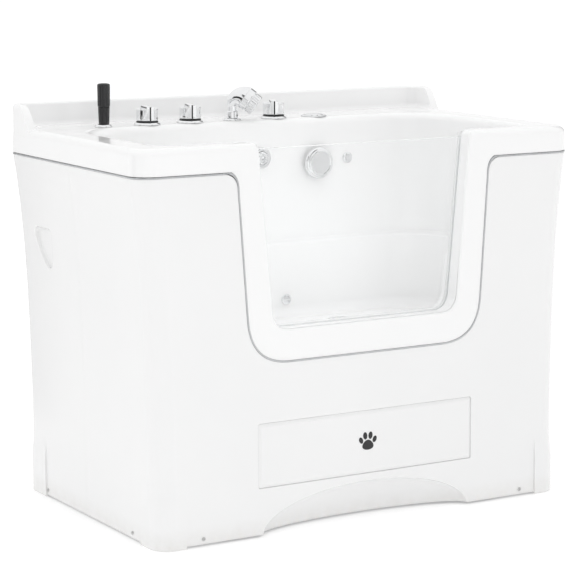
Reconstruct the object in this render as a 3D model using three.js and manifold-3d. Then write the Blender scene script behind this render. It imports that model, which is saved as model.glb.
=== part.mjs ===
// Pet bathtub with a lift-out glass door, deck taps and a circulation pump.
// Millimetres, +Z up. The origin is on the floor under the middle of the tub;
// +X runs to the right along the front, and the front faces -Y.

import * as THREE from 'three';
import { mergeVertices } from 'three/addons/utils/BufferGeometryUtils.js';
import Module from 'manifold-3d';

const wasm = await Module();
wasm.setup();

// ---------- driving dimensions ----------

const CLEARANCE = 0.3;          // gap left between pieces that touch
const WALL = 5;                 // thickness of the acrylic shell and of the skirts
const DECK_THICKNESS = 8;       // acrylic deck with its backing

const WIDTH = 1200;             // over the seam trim, left to right
const DEPTH = 700;              // over the seam trim at the back and the posts in front
const TRIM_PROUD = 1;           // how far the seam trim stands out
const SEAM_HEIGHT = 850;        // lower edge of the rim band
const DECK_HEIGHT = 912;        // top of the deck
const SPLASH_HEIGHT = 968;      // top of the upstand along the back

const RIM_HALF = WIDTH / 2 - TRIM_PROUD;
const RIM_FRONT = -335;
const RIM_BACK = DEPTH / 2 - TRIM_PROUD;
const CORNER_RADIUS = 45;

const SKIRT_FLOOR_HALF = 559;   // half width of the skirt at the floor
const SKIRT_LEAN = 8;           // even widening of each side from floor to seam
const SKIRT_FLARE = 32;         // extra flare of each side close under the seam
const SKIRT_FRONT_LEAN = 11;    // how far the floor line stands in front of the seam
const SKIRT_BACK_LEAN = 7;
const SKIRT_TOP = SEAM_HEIGHT - 3.5;
const SKIRT_JOINT_Y = 22;       // where the front and rear skirts meet on each side

const BASIN_HALF = 508;
const BASIN_FRONT = -277;
const BASIN_BACK = 178;
const BASIN_BACK_RADIUS = 125;
const BASIN_FRONT_RADIUS = 60;
const BASIN_FLOOR = 410;
const LEDGE_HEIGHT = 600;
const LEDGE_WIDTH = 14;

const DOOR = { topHalf: 290, bottomHalf: 252, reference: DECK_HEIGHT, sill: 481, radius: 42 };
const DOOR_TOP = 896;
const GLASS_THICKNESS = 10;
const GLASS_FRONT = -297.5;
const CHANNEL_WALL = 6;         // shell in front of and behind the glass gasket

const APRON = { topHalf: 347, bottomHalf: 316, reference: SEAM_HEIGHT, sill: 406, radius: 105 };
const APRON_SHOULDER = 40;
const TRIM_HALF_WIDTH = 2;

const FITTING_ROW_Y = 217;      // line of the taps along the rear deck
const FITTING_PITCH = 120;
const SPOUT_X = -48;
const TAP_X = [SPOUT_X - 2 * FITTING_PITCH, SPOUT_X - FITTING_PITCH, SPOUT_X + FITTING_PITCH];
const TAP_TURNS = [-10, -17, -25]; // where each knob's index points, from straight ahead
const WAND_X = SPOUT_X - 3 * FITTING_PITCH;
const BUTTON_X = SPOUT_X + 2 * FITTING_PITCH;

// The spout's hood fans round a pivot beside its neck and widens to the head.
const HOOD = { pivotX: 12, pivotZ: 34, end: 127, narrow: 22, wide: 59, gap: 1, turn: -35 };

const OVERFLOW = { x: 170, z: 798 };
const JET = { x: 10, z: 817 };
const BUBBLE_NOZZLE = { x: 266, z: 805 };
const STRAINER = { x: 75, z: 453 };
const DRAIN = { x: 170, y: 50 };
const PIPE_RADIUS = 18;
const RISER_Y = 218;            // pipes climb here, between the basin and the rear skirt

const PANEL = { half: 298, bottom: 115, top: 267, back: -336 };
const ARCH = { half: 287, depth: 65, height: 97 };
const CUP_LIP = { width: 8, thickness: 3 };
const HAND_HOLD = { front: 176, rear: 266, top: 676, point: 582, surface: 572, depth: 22 };

const POST = { half: 490, front: -262, back: 250, height: 150, swell: 4 };
const SKIRT_BOTTOM = 0.5;       // the posts hang just clear of the floor
const SKIRT_STEP = 6;           // the skirt between the posts starts this high

// ---------- solids ----------

function toSolid(geometry) {
  const bare = geometry.clone();
  bare.deleteAttribute('normal');
  bare.deleteAttribute('uv');
  const merged = mergeVertices(bare, 1e-4);
  const corners = [];
  for (let start = 0; start < merged.index.count; start += 3) {
    const [a, b, c] = [0, 1, 2].map((step) => merged.index.getX(start + step));
    if (a !== b && b !== c && c !== a) corners.push(a, b, c);
  }
  const vertProperties = Float32Array.from(merged.attributes.position.array);
  const triVerts = Uint32Array.from(corners);
  const solid = new wasm.Manifold(new wasm.Mesh({ numProp: 3, vertProperties, triVerts }));
  if (solid.volume() > 0) return solid;
  const flipped = triVerts.slice().reverse();
  return new wasm.Manifold(new wasm.Mesh({ numProp: 3, vertProperties, triVerts: flipped }));
}

function toGeometry(solid) {
  const mesh = solid.getMesh();
  const geometry = new THREE.BufferGeometry();
  geometry.setAttribute('position', new THREE.BufferAttribute(mesh.vertProperties.slice(), 3));
  geometry.setIndex(new THREE.BufferAttribute(mesh.triVerts.slice(), 1));
  geometry.computeVertexNormals();
  return geometry;
}

function join(...solids) {
  return solids.reduce((whole, piece) => whole.add(piece));
}

function cut(body, ...tools) {
  return tools.reduce((whole, tool) => whole.subtract(tool), body);
}

function box(xMin, xMax, yMin, yMax, zMin, zMax) {
  const geometry = new THREE.BoxGeometry(xMax - xMin, yMax - yMin, zMax - zMin);
  geometry.translate((xMin + xMax) / 2, (yMin + yMax) / 2, (zMin + zMax) / 2);
  return toSolid(geometry);
}

// A turned piece on the Z axis; the profile lists [radius, height] and closes on the axis.
function turned(profile, segments = 16) {
  const closed = [[0, profile[0][1]], ...profile, [0, profile.at(-1)[1]]];
  const points = closed.map(([radius, height]) => new THREE.Vector2(radius, height));
  const geometry = new THREE.LatheGeometry(points, segments);
  geometry.rotateX(Math.PI / 2);
  return toSolid(geometry);
}

// A turned ring on the Z axis; its profile closes on itself.
function turnedRing(profile, segments = 18) {
  const closed = [...profile, profile[0]];
  const points = closed.map(([radius, height]) => new THREE.Vector2(radius, height));
  const geometry = new THREE.LatheGeometry(points, segments);
  geometry.rotateX(Math.PI / 2);
  return toSolid(geometry);
}

// Turns a piece's Z axis to -Y, the way a fitting on the back wall looks.
function facingForward(solid) {
  return solid.rotate([90, 0, 0]);
}

function rod(radius, xyz, length, axis = 'z', segments = 16) {
  const upright = turned([[radius, 0], [radius, length]], segments);
  const turns = { x: [0, 90, 0], y: [-90, 0, 0], z: [0, 0, 0] };
  return upright.rotate(turns[axis]).translate(xyz);
}

// A pipe along straight legs with rounded bends.
function pipe(route, radius, bend, sides = 10) {
  const corners = route.map(([x, y, z]) => new THREE.Vector3(x, y, z));
  const path = new THREE.CurvePath();
  let start = corners[0];
  for (let index = 1; index < corners.length - 1; index += 1) {
    const corner = corners[index];
    const towards = corners[index - 1].clone().sub(corner).setLength(bend).add(corner);
    const away = corners[index + 1].clone().sub(corner).setLength(bend).add(corner);
    path.add(new THREE.LineCurve3(start, towards));
    path.add(new THREE.QuadraticBezierCurve3(towards, corner, away));
    start = away;
  }
  path.add(new THREE.LineCurve3(start, corners.at(-1)));
  const section = new THREE.Shape();
  section.absarc(0, 0, radius, 0, 2 * Math.PI);
  const steps = Math.ceil(path.getLength() / (radius * 2));
  return toSolid(new THREE.ExtrudeGeometry(section, {
    steps,
    curveSegments: sides / 2,
    extrudePath: path,
  }));
}

// ---------- outlines ----------

function roundedRectangle(xMin, xMax, yMin, yMax, frontRadius, backRadius) {
  const shape = new THREE.Shape();
  const quarter = Math.PI / 2;
  shape.absarc(xMax - frontRadius, yMin + frontRadius, frontRadius, -quarter, 0);
  shape.absarc(xMax - backRadius, yMax - backRadius, backRadius, 0, quarter);
  shape.absarc(xMin + backRadius, yMax - backRadius, backRadius, quarter, 2 * quarter);
  shape.absarc(xMin + frontRadius, yMin + frontRadius, frontRadius, 2 * quarter, 3 * quarter);
  shape.closePath();
  return shape;
}

// Raises an outline through several levels; every level moves the sides, the front and
// the back outward by its own amounts and so keeps the corner radii.
function stacked(shape, levels, middleY, curveSegments) {
  const last = levels.length - 1;
  const geometry = new THREE.ExtrudeGeometry(shape, {
    depth: last,
    steps: last,
    bevelEnabled: false,
    curveSegments,
  });
  const position = geometry.attributes.position;
  for (let index = 0; index < position.count; index += 1) {
    const level = levels[Math.round(position.getZ(index))];
    const x = position.getX(index);
    const y = position.getY(index);
    const movedX = x + Math.sign(x) * level.side;
    const movedY = y < middleY ? y - level.front : y + level.back;
    position.setXYZ(index, movedX, movedY, level.height);
  }
  return toSolid(geometry);
}

function evenLevel(height, growth) {
  return { height, side: growth, front: growth, back: growth };
}

// Extrudes an outline drawn in X and Z from one Y to another.
function alongY(shape, yMin, yMax, curveSegments = 5) {
  const depth = yMax - yMin;
  const geometry = new THREE.ExtrudeGeometry(shape, { depth, bevelEnabled: false, curveSegments });
  geometry.rotateX(Math.PI / 2);
  geometry.translate(0, yMax, 0);
  return toSolid(geometry);
}

// Extrudes an outline drawn in Y and Z from one X to another.
function alongX(shape, xMin, xMax, curveSegments) {
  const depth = xMax - xMin;
  const geometry = new THREE.ExtrudeGeometry(shape, { depth, bevelEnabled: false, curveSegments });
  const turn = new THREE.Matrix4().makeBasis(
    new THREE.Vector3(0, 1, 0),
    new THREE.Vector3(0, 0, 1),
    new THREE.Vector3(1, 0, 0),
  );
  geometry.applyMatrix4(turn);
  geometry.translate(xMin, 0, 0);
  return toSolid(geometry);
}

function halfWidthAt(form, height) {
  const share = (height - form.sill) / (form.reference - form.sill);
  return form.bottomHalf + (form.topHalf - form.bottomHalf) * share;
}

// A U standing open side up in X and Z, tapering to rounded lower corners. A shoulder
// spreads its upper ends sideways into the line above.
function uOutline(form, growth, top, shoulder = 0) {
  const shoulderFoot = top - shoulder;
  const upper = halfWidthAt(form, shoulderFoot) + growth;
  const lower = form.bottomHalf + growth;
  const floor = form.sill - growth;
  const round = form.radius + growth;
  const side = halfWidthAt(form, floor + round) + growth;
  const shape = new THREE.Shape();
  shape.moveTo(-upper - shoulder, top);
  if (shoulder > 0) shape.quadraticCurveTo(-upper, top, -upper, shoulderFoot);
  shape.lineTo(-side, floor + round);
  shape.quadraticCurveTo(-lower, floor, -lower + round, floor);
  shape.lineTo(lower - round, floor);
  shape.quadraticCurveTo(lower, floor, side, floor + round);
  shape.lineTo(upper, shoulderFoot);
  if (shoulder > 0) shape.quadraticCurveTo(upper, top, upper + shoulder, top);
  shape.closePath();
  return shape;
}

// ---------- shared bodies ----------

const MIDDLE_Y = (RIM_FRONT + RIM_BACK) / 2;

function rimOutline() {
  return roundedRectangle(-RIM_HALF, RIM_HALF, RIM_FRONT, RIM_BACK, CORNER_RADIUS, CORNER_RADIUS);
}

function skirtLevel(height, growth) {
  const share = Math.min(height / SEAM_HEIGHT, 1);
  const half = SKIRT_FLOOR_HALF + SKIRT_LEAN * share + SKIRT_FLARE * share ** 4;
  return {
    height,
    side: half - RIM_HALF + growth,
    front: SKIRT_FRONT_LEAN * (1 - share) + growth,
    back: -SKIRT_BACK_LEAN * (1 - share) + growth,
  };
}

// The flared outer form of the skirts, grown or shrunk evenly.
function skirtForm(growth, bottom, top) {
  const heights = [380, 540, 640, 710, 770, 815].filter((height) => height > bottom && height < top);
  const levels = [bottom, ...heights, top].map((height) => skirtLevel(height, growth));
  return stacked(rimOutline(), levels, MIDDLE_Y, 2);
}

// The corner posts swell out of the lower part of the skirt form.
function cornerPosts() {
  const swollen = stacked(rimOutline(), [
    skirtLevel(SKIRT_BOTTOM, POST.swell),
    skirtLevel(POST.height * 0.7, POST.swell),
    skirtLevel(POST.height, 0),
  ], MIDDLE_Y, 2);
  const corners = [];
  for (const [xMin, xMax] of [[-WIDTH, -POST.half], [POST.half, WIDTH]]) {
    corners.push(box(xMin, xMax, -DEPTH, POST.front, 0, POST.height + 1));
    corners.push(box(xMin, xMax, POST.back, DEPTH, 0, POST.height + 1));
  }
  return swollen.intersect(join(...corners));
}

function basinOutline() {
  return roundedRectangle(
    -BASIN_HALF, BASIN_HALF, BASIN_FRONT, BASIN_BACK, BASIN_FRONT_RADIUS, BASIN_BACK_RADIUS,
  );
}

// The inside of the basin: a rolled edge at the deck, a ledge half way down and a
// rounded foot; the outside is the same form one wall thickness larger.
function basinForm(growth, top) {
  const floor = BASIN_FLOOR - growth;
  const levels = [
    evenLevel(floor, growth - 46),
    evenLevel(floor + 4, growth - 32),
    evenLevel(floor + 12, growth - 21),
    evenLevel(floor + 26, growth - LEDGE_WIDTH),
    evenLevel(LEDGE_HEIGHT - 8, growth - LEDGE_WIDTH),
    evenLevel(LEDGE_HEIGHT, growth - 6),
    evenLevel(LEDGE_HEIGHT + 14, growth),
    evenLevel(top - 18, growth),
  ];
  if (growth > 0) {
    levels.push(evenLevel(top, growth + 7));
  } else {
    levels.push(evenLevel(top - 7, 3), evenLevel(top - 2, 8), evenLevel(top, 14));
    levels.push(evenLevel(top + 10, 14));
  }
  const middle = (BASIN_FRONT + BASIN_BACK) / 2;
  return stacked(basinOutline(), levels, middle, 4);
}

// ---------- tub shell ----------

function rimForm() {
  const levels = [
    evenLevel(SEAM_HEIGHT, 0),
    evenLevel(DECK_HEIGHT - 18, -1),
    evenLevel(DECK_HEIGHT - 9, -4),
    evenLevel(DECK_HEIGHT - 3, -10),
    evenLevel(DECK_HEIGHT, -20),
  ];
  return stacked(rimOutline(), levels, MIDDLE_Y, 2);
}

function rimHollow() {
  const levels = [
    evenLevel(SEAM_HEIGHT - 10, -WALL),
    evenLevel(DECK_HEIGHT - 18, -WALL - 1),
    evenLevel(DECK_HEIGHT - DECK_THICKNESS, -20 - WALL),
  ];
  return stacked(rimOutline(), levels, MIDDLE_Y, 2);
}

// The upstand runs along the back, wraps the rear corners and ramps down to the deck.
function upstand() {
  const outside = stacked(rimOutline(), [
    evenLevel(DECK_HEIGHT - 40, -1.5),
    evenLevel(SPLASH_HEIGHT - 8, -1.5),
    evenLevel(SPLASH_HEIGHT - 2.5, -4),
    evenLevel(SPLASH_HEIGHT, -9),
  ], MIDDLE_Y, 2);
  const inside = stacked(rimOutline(), [
    evenLevel(DECK_HEIGHT - 30, -38),
    evenLevel(DECK_HEIGHT, -38),
    evenLevel(DECK_HEIGHT + 3, -30),
    evenLevel(DECK_HEIGHT + 10, -24),
    evenLevel(SPLASH_HEIGHT - 3, -20),
    evenLevel(SPLASH_HEIGHT, -16),
    evenLevel(SPLASH_HEIGHT + 5, -16),
  ], MIDDLE_Y, 2);
  const rampFoot = 214;
  const rampTop = 300;
  const rampBase = DECK_HEIGHT - 22;
  const ramp = new THREE.Shape();
  ramp.moveTo(rampFoot, rampBase);
  ramp.bezierCurveTo(rampFoot + 34, rampBase, rampTop - 42, SPLASH_HEIGHT, rampTop, SPLASH_HEIGHT + 1);
  ramp.lineTo(DEPTH, SPLASH_HEIGHT + 1);
  ramp.lineTo(DEPTH, rampBase);
  ramp.closePath();
  return cut(outside, inside).intersect(alongX(ramp, -WIDTH, WIDTH, 8));
}

function doorCut(growth, yMin, yMax, top) {
  return alongY(uOutline(DOOR, growth, top), yMin, yMax);
}

const GASKET_DEPTH = 12;        // how far the gasket reaches into the side walls
const GASKET_LIP = 4.8;         // gasket in front of and behind the glass
const CHANNEL_FRONT = GLASS_FRONT - GASKET_LIP - 2 * CLEARANCE;
const CHANNEL_BACK = GLASS_FRONT + GLASS_THICKNESS + GASKET_LIP + 2 * CLEARANCE;

function tubShell() {
  const deck = cut(rimForm(), rimHollow());
  const bowl = basinForm(WALL, DECK_HEIGHT - 2.5);
  const apronBand = cut(skirtForm(-0.4, 380, SEAM_HEIGHT + 6), skirtForm(0.7 - WALL, 370, SEAM_HEIGHT + 8));
  const apronEdge = -TRIM_HALF_WIDTH - CLEARANCE;
  const apronU = alongY(
    uOutline(APRON, apronEdge, SEAM_HEIGHT + 6, APRON_SHOULDER + 6), RIM_FRONT - 30, RIM_FRONT + 40,
  );
  const apron = apronBand.intersect(apronU);
  const lining = doorCut(WALL, RIM_FRONT + 2, BASIN_FRONT + LEDGE_WIDTH + 3, DECK_HEIGHT - 2);
  const channelCase = doorCut(
    GASKET_DEPTH + WALL + 1, CHANNEL_FRONT - CHANNEL_WALL, CHANNEL_BACK + CHANNEL_WALL,
    DECK_HEIGHT - 3,
  );
  const body = join(deck, bowl, apron, lining, channelCase, upstand());
  const channel = doorCut(GASKET_DEPTH + 1, CHANNEL_FRONT, CHANNEL_BACK, DECK_HEIGHT + 20);
  const doorway = doorCut(0, RIM_FRONT - 40, BASIN_FRONT + 40, DECK_HEIGHT + 20);
  return cut(body, basinForm(0, DECK_HEIGHT), doorway, channel, ...shellBores());
}

// Holes for everything that passes through the deck, the back wall and the floor.
function shellBores() {
  const through = 60;
  const deckBore = (x, radius) => rod(radius, [x, FITTING_ROW_Y, DECK_HEIGHT - 30], through);
  const wallBore = ({ x, z }, radius) => rod(radius, [x, BASIN_BACK - 40, z], through, 'y');
  return [
    ...TAP_X.map((x) => deckBore(x, 11)),
    deckBore(SPOUT_X, 12),
    deckBore(WAND_X, 19),
    deckBore(BUTTON_X, 26),
    wallBore(OVERFLOW, 24),
    wallBore(JET, 19),
    wallBore(BUBBLE_NOZZLE, 8),
    wallBore(STRAINER, 10),
    rod(23, [DRAIN.x, DRAIN.y, BASIN_FLOOR - 30], through),
  ];
}

// ---------- skirts ----------

function archScoop(growth) {
  const scoop = new THREE.SphereGeometry(1, 28, 14);
  scoop.rotateX(Math.PI / 2);
  scoop.scale(ARCH.half + growth, ARCH.depth + growth, ARCH.height + growth);
  scoop.translate(0, RIM_FRONT - SKIRT_FRONT_LEAN, 0);
  return toSolid(scoop);
}

// The hand hold in each side: flat on top, with a rounded point below.
function handHoldOutline() {
  const { front, rear, top, point } = HAND_HOLD;
  const shape = new THREE.Shape();
  shape.moveTo(front + 8, top);
  shape.quadraticCurveTo(front, top, front, top - 8);
  shape.lineTo(front, point + 36);
  shape.quadraticCurveTo(front + 4, point, front + 26, point);
  shape.quadraticCurveTo(front + 62, point + 14, rear, top - 8);
  shape.quadraticCurveTo(rear, top, rear - 8, top);
  return shape.getPoints(4).map(({ x, y }) => [x, y]);
}

// The space of a hand hold, from inner out past the side of the skirt.
function handHoldSpace(side, growth, inner) {
  const section = new wasm.CrossSection([handHoldOutline()]).offset(growth, 'Round', 2, 20);
  const sideways = [0, 1, 0, 0, 0, 0, 1, 0, 1, 0, 0, 0, 0, 0, 0, 1];
  const space = section.extrude(RIM_HALF - inner).transform(sideways);
  return space.translate([side > 0 ? inner : -RIM_HALF, 0, 0]);
}

function handHoldOpenings() {
  const inner = HAND_HOLD.surface - HAND_HOLD.depth - 2 * WALL;
  const growth = WALL + CLEARANCE;
  return join(handHoldSpace(-1, growth, inner), handHoldSpace(1, growth, inner));
}

// A moulded cup, flush with the skirt, whose lip lies behind the skirt's wall.
function handCup(side) {
  const floor = HAND_HOLD.surface - HAND_HOLD.depth;
  const cup = handHoldSpace(side, WALL, floor - WALL).intersect(skirtForm(0, SKIRT_BOTTOM, SKIRT_TOP));
  const lipBand = cut(
    skirtForm(-WALL - CLEARANCE, SKIRT_BOTTOM, SKIRT_TOP),
    skirtForm(-WALL - CLEARANCE - CUP_LIP.thickness, SKIRT_BOTTOM - 5, SKIRT_TOP + 5),
  );
  const lip = handHoldSpace(side, WALL + CUP_LIP.width, floor - WALL).intersect(lipBand);
  return cut(join(cup, lip), handHoldSpace(side, 0, floor));
}

function skirtScrewPlaces() {
  const floorHalf = SKIRT_FLOOR_HALF;
  const front = RIM_FRONT - SKIRT_FRONT_LEAN;
  const places = [];
  for (const side of [-1, 1]) {
    places.push({ x: side * floorHalf, y: -215, turn: side * 90 });
    places.push({ x: side * floorHalf, y: 243, turn: side * 90 });
    places.push({ x: side * 445, y: front, turn: 0 });
  }
  return places;
}

const SCREW_HEIGHT = 18;

// A pan-head screw standing out of the skirt; its shank runs inward.
function screw({ x, y, turn }) {
  const profile = [[2, -14], [2, 0.3], [4.5, 0.3], [4.5, 1.6], [3, 2.8]];
  return turned(profile, 8).rotate([90, 0, 0]).rotate([0, 0, turn]).translate([x, y, SCREW_HEIGHT]);
}

function screwBore({ x, y, turn }) {
  const bore = turned([[2.4, -20], [2.4, 20]], 8);
  return bore.rotate([90, 0, 0]).rotate([0, 0, turn]).translate([x, y, SCREW_HEIGHT]);
}

// The pocket of the name panel, grown to leave material behind it.
function panelPocket(growth) {
  return box(
    -PANEL.half - growth, PANEL.half + growth, -DEPTH, PANEL.back + growth,
    PANEL.bottom - growth, PANEL.top + growth,
  );
}

function wholeSkirt() {
  const outside = join(skirtForm(0, SKIRT_BOTTOM, SKIRT_TOP), cornerPosts());
  const inside = skirtForm(-WALL, -20, SKIRT_TOP + 20);
  const hollow = cut(inside, archScoop(WALL), panelPocket(WALL));
  const raised = join(
    box(-POST.half, POST.half, -DEPTH, DEPTH, -10, SKIRT_STEP),
    box(-WIDTH, WIDTH, POST.front, POST.back, -10, SKIRT_STEP),
  );
  const apronCut = alongY(
    uOutline(APRON, TRIM_HALF_WIDTH + CLEARANCE, SKIRT_TOP + 0.5, APRON_SHOULDER),
    RIM_FRONT - 30, RIM_FRONT + 40,
  );
  return cut(
    outside, hollow, archScoop(0), handHoldOpenings(), raised, apronCut, panelPocket(0),
    ...skirtScrewPlaces().map(screwBore),
  );
}

function skirtHalves() {
  const skirt = wholeSkirt();
  const half = CLEARANCE / 2;
  const frontSide = box(-WIDTH, WIDTH, -DEPTH, SKIRT_JOINT_Y - half, -20, SEAM_HEIGHT);
  const rearSide = box(-WIDTH, WIDTH, SKIRT_JOINT_Y + half, DEPTH, -20, SEAM_HEIGHT);
  return { front: skirt.intersect(frontSide), rear: skirt.intersect(rearSide) };
}

function namePanel() {
  const gap = 0.5;
  const [half, bottom, top] = [PANEL.half - gap, PANEL.bottom + gap, PANEL.top - gap];
  const outline = roundedRectangle(-half, half, bottom, top, 4, 4);
  const plate = new THREE.ExtrudeGeometry(outline, {
    depth: 2, bevelThickness: 2, bevelSize: 3, bevelOffset: -3, bevelSegments: 1, curveSegments: 2,
  });
  plate.rotateX(Math.PI / 2);
  plate.translate(0, PANEL.back - CLEARANCE - 2, 0);
  return toSolid(plate);
}

// The thin bright strip under the rim band that follows the apron down and around.
function seamTrim() {
  const low = SKIRT_TOP + CLEARANCE;
  const high = SEAM_HEIGHT - CLEARANCE;
  const outer = skirtForm(TRIM_PROUD, 380, high);
  const inner = skirtForm(-4, 370, high + 10);
  const band = cut(outer, inner);
  const level = band.intersect(box(-WIDTH, WIDTH, -DEPTH, DEPTH, low, high));
  const front = [RIM_FRONT - 30, RIM_FRONT + 40];
  const outerU = alongY(uOutline(APRON, TRIM_HALF_WIDTH, high, APRON_SHOULDER), ...front);
  const innerU = alongY(uOutline(APRON, -TRIM_HALF_WIDTH, high + 0.5, APRON_SHOULDER), ...front);
  const loop = cut(band.intersect(outerU), innerU);
  return cut(join(level, loop), innerU);
}

// ---------- door ----------

function doorGasket() {
  const top = DECK_HEIGHT - 8;
  const outer = doorCut(GASKET_DEPTH + 1 - 2 * CLEARANCE, CHANNEL_FRONT + CLEARANCE,
    CHANNEL_BACK - CLEARANCE, top);
  const slot = doorCut(GASKET_DEPTH - 2, GLASS_FRONT - CLEARANCE,
    GLASS_FRONT + GLASS_THICKNESS + CLEARANCE, top + 10);
  const doorway = doorCut(1, -DEPTH, 0, top + 10);
  return cut(outer, slot, doorway);
}

function doorGlass() {
  return doorCut(GASKET_DEPTH - 2.6, GLASS_FRONT, GLASS_FRONT + GLASS_THICKNESS, DOOR_TOP);
}

// ---------- back wall fittings, drawn on +Z and then faced forward ----------

function onBackWall(solid, { x, z }, wallY) {
  return facingForward(solid).translate([x, wallY, z]);
}

function downTail(place, radius, top, bottom) {
  return rod(radius, [place.x, RISER_Y, bottom], top - bottom);
}

function overflowBody() {
  const tail = turned([[20, -RISER_Y + BASIN_BACK - 22], [20, -WALL - 1], [23.5, -WALL - 1],
    [23.5, CLEARANCE], [30, CLEARANCE], [30, 5], [12, 5]]);
  const placed = onBackWall(tail, OVERFLOW, BASIN_BACK);
  return join(placed, downTail(OVERFLOW, PIPE_RADIUS, OVERFLOW.z, OVERFLOW.z - 40));
}

function overflowKnob() {
  return onBackWall(turned([[8, 5.5], [8, 12], [36, 12], [40, 15], [40, 22], [34, 29], [10, 30]], 24),
    OVERFLOW, BASIN_BACK);
}

function jetBody() {
  const housing = turned([[16, -RISER_Y + BASIN_BACK - 22], [16, -WALL - 1], [18.5, -WALL - 1],
    [18.5, CLEARANCE], [27, CLEARANCE], [27, 4], [24, 7], [17, 7], [17, 2], [2, 2]]);
  const placed = onBackWall(housing, JET, BASIN_BACK);
  return join(placed, downTail(JET, PIPE_RADIUS, JET.z, JET.z - 40));
}

function jetNozzle() {
  const face = turned([[16.4, 2.4], [16.4, 8], [13, 12], [7, 12], [7, 9], [1, 9]]);
  const grips = [0, 120, 240].map((turn) => box(9, 15.5, -2, 2, 8, 13.5).rotate([0, 0, turn]));
  return onBackWall(join(face, ...grips), JET, BASIN_BACK);
}

function bubbleNozzle() {
  const body = turned([[7.5, -30], [7.5, CLEARANCE], [14, CLEARANCE], [14, 3], [11, 5.5], [2, 6]], 16);
  const holes = [0, 1, 2, 3, 4, 5].map((step) => rod(1.3, [7, 0, 2], 8, 'z', 5).rotate([0, 0, step * 60]));
  return onBackWall(cut(body, ...holes), BUBBLE_NOZZLE, BASIN_BACK);
}

function suctionStrainer() {
  const wallY = BASIN_BACK - LEDGE_WIDTH;
  const body = turned([[9.5, wallY - RISER_Y - 4], [9.5, CLEARANCE], [14, CLEARANCE], [14, 3], [12, 5],
    [2, 6]], 16);
  const slots = [-5, 0, 5].map((place) => box(place - 1, place + 1, -8, 8, 2, 8));
  const placed = onBackWall(cut(body, ...slots), STRAINER, wallY);
  return join(placed, downTail(STRAINER, PIPE_RADIUS, STRAINER.z + 14, STRAINER.z - 30));
}

// ---------- waste ----------

function drainFlange() {
  const bore = [[19, -44], [22, -44], [22, CLEARANCE], [35, CLEARANCE], [35, 1.5], [31, 3], [23, 3],
    [19, 0]];
  return turnedRing(bore, 18).translate([DRAIN.x, DRAIN.y, BASIN_FLOOR]);
}

function drainPlug() {
  const profile = [[3, -30], [3, -4], [15, -4], [18, 0.4], [22.4, 3.6], [22.4, 5], [12, 7]];
  return turned(profile, 18).translate([DRAIN.x, DRAIN.y, BASIN_FLOOR]);
}

function overflowPipe() {
  const teeHeight = BASIN_FLOOR - 70;
  return pipe([
    [OVERFLOW.x, RISER_Y, OVERFLOW.z - 40 - CLEARANCE],
    [OVERFLOW.x, RISER_Y, teeHeight],
    [DRAIN.x, DRAIN.y + 24 + CLEARANCE, teeHeight],
  ], PIPE_RADIUS, 40);
}

function drainTrap() {
  const tee = rod(24, [DRAIN.x, DRAIN.y, BASIN_FLOOR - 100], 56 - CLEARANCE);
  const neck = rod(20, [DRAIN.x, DRAIN.y, BASIN_FLOOR - 130], 40);
  const run = pipe([
    [DRAIN.x, DRAIN.y, BASIN_FLOOR - 128],
    [DRAIN.x, DRAIN.y, 180],
    [DRAIN.x + 110, DRAIN.y, 180],
    [DRAIN.x + 110, DRAIN.y, 250],
    [DRAIN.x + 110, 230, 250],
    [DRAIN.x + 110, 230, 100],
  ], 20, 42);
  return join(tee, neck, run);
}

// ---------- deck fittings ----------

function onDeck(solid, x) {
  return solid.translate([x, FITTING_ROW_Y, DECK_HEIGHT]);
}

function tapFlange() {
  return turnedRing([[10.5, CLEARANCE], [33.5, CLEARANCE], [33.5, 3], [30, 6], [10.5, 6]], 20);
}

function tapCollar() {
  return turnedRing([[10.5, 6 + CLEARANCE], [27, 6 + CLEARANCE], [27, 10], [10.5, 10]], 20);
}

function tapKnob() {
  const cap = turned([[27.5, 10.3], [27.5, 38], [25.5, 40]], 20);
  const bar = box(-9, 9, -27, 27, 38, 46);
  const body = join(cap, bar.intersect(turned([[27.5, 30], [27.5, 44], [25, 46]], 20)));
  return cut(body, rod(10.5, [0, 0, 5], 15, 'z', 16), rod(4.5, [0, 0, 15], 16, 'z', 10));
}

function tapValve() {
  const nutTop = -DECK_THICKNESS - CLEARANCE;
  const nut = [[15, -62], [15, nutTop]];
  return turned([...nut, [10, nutTop], [10, 18], [4, 18], [4, 29]], 14);
}

function supplyPipe() {
  const from = TAP_X[0] - 20;
  const to = TAP_X[2] + 20;
  return rod(9, [from, FITTING_ROW_Y + 15 + 9 + CLEARANCE, DECK_HEIGHT - 45], to - from, 'x', 14);
}

function spoutFlange() {
  return turnedRing([[12.5, CLEARANCE], [23, CLEARANCE], [23, 2.5], [20, 5], [12.5, 5]], 18);
}

function hoodCentre(degrees) {
  const angle = THREE.MathUtils.degToRad(degrees);
  const width = HOOD.narrow + (HOOD.wide - HOOD.narrow) * (degrees / HOOD.end) ** 1.3;
  const reach = HOOD.gap + width / 2;
  const out = [-Math.cos(angle), Math.sin(angle)];
  return { out, radius: width / 2, x: HOOD.pivotX + reach * out[0], z: HOOD.pivotZ + reach * out[1] };
}

const HOOD_SIDES = 20;

function hoodRing(degrees) {
  const { out, radius, x, z } = hoodCentre(degrees);
  const points = [];
  for (let step = 0; step < HOOD_SIDES; step += 1) {
    const angle = (2 * Math.PI * step) / HOOD_SIDES;
    const along = radius * Math.cos(angle);
    points.push([x + along * out[0], radius * Math.sin(angle), z + along * out[1]]);
  }
  return points;
}

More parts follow.
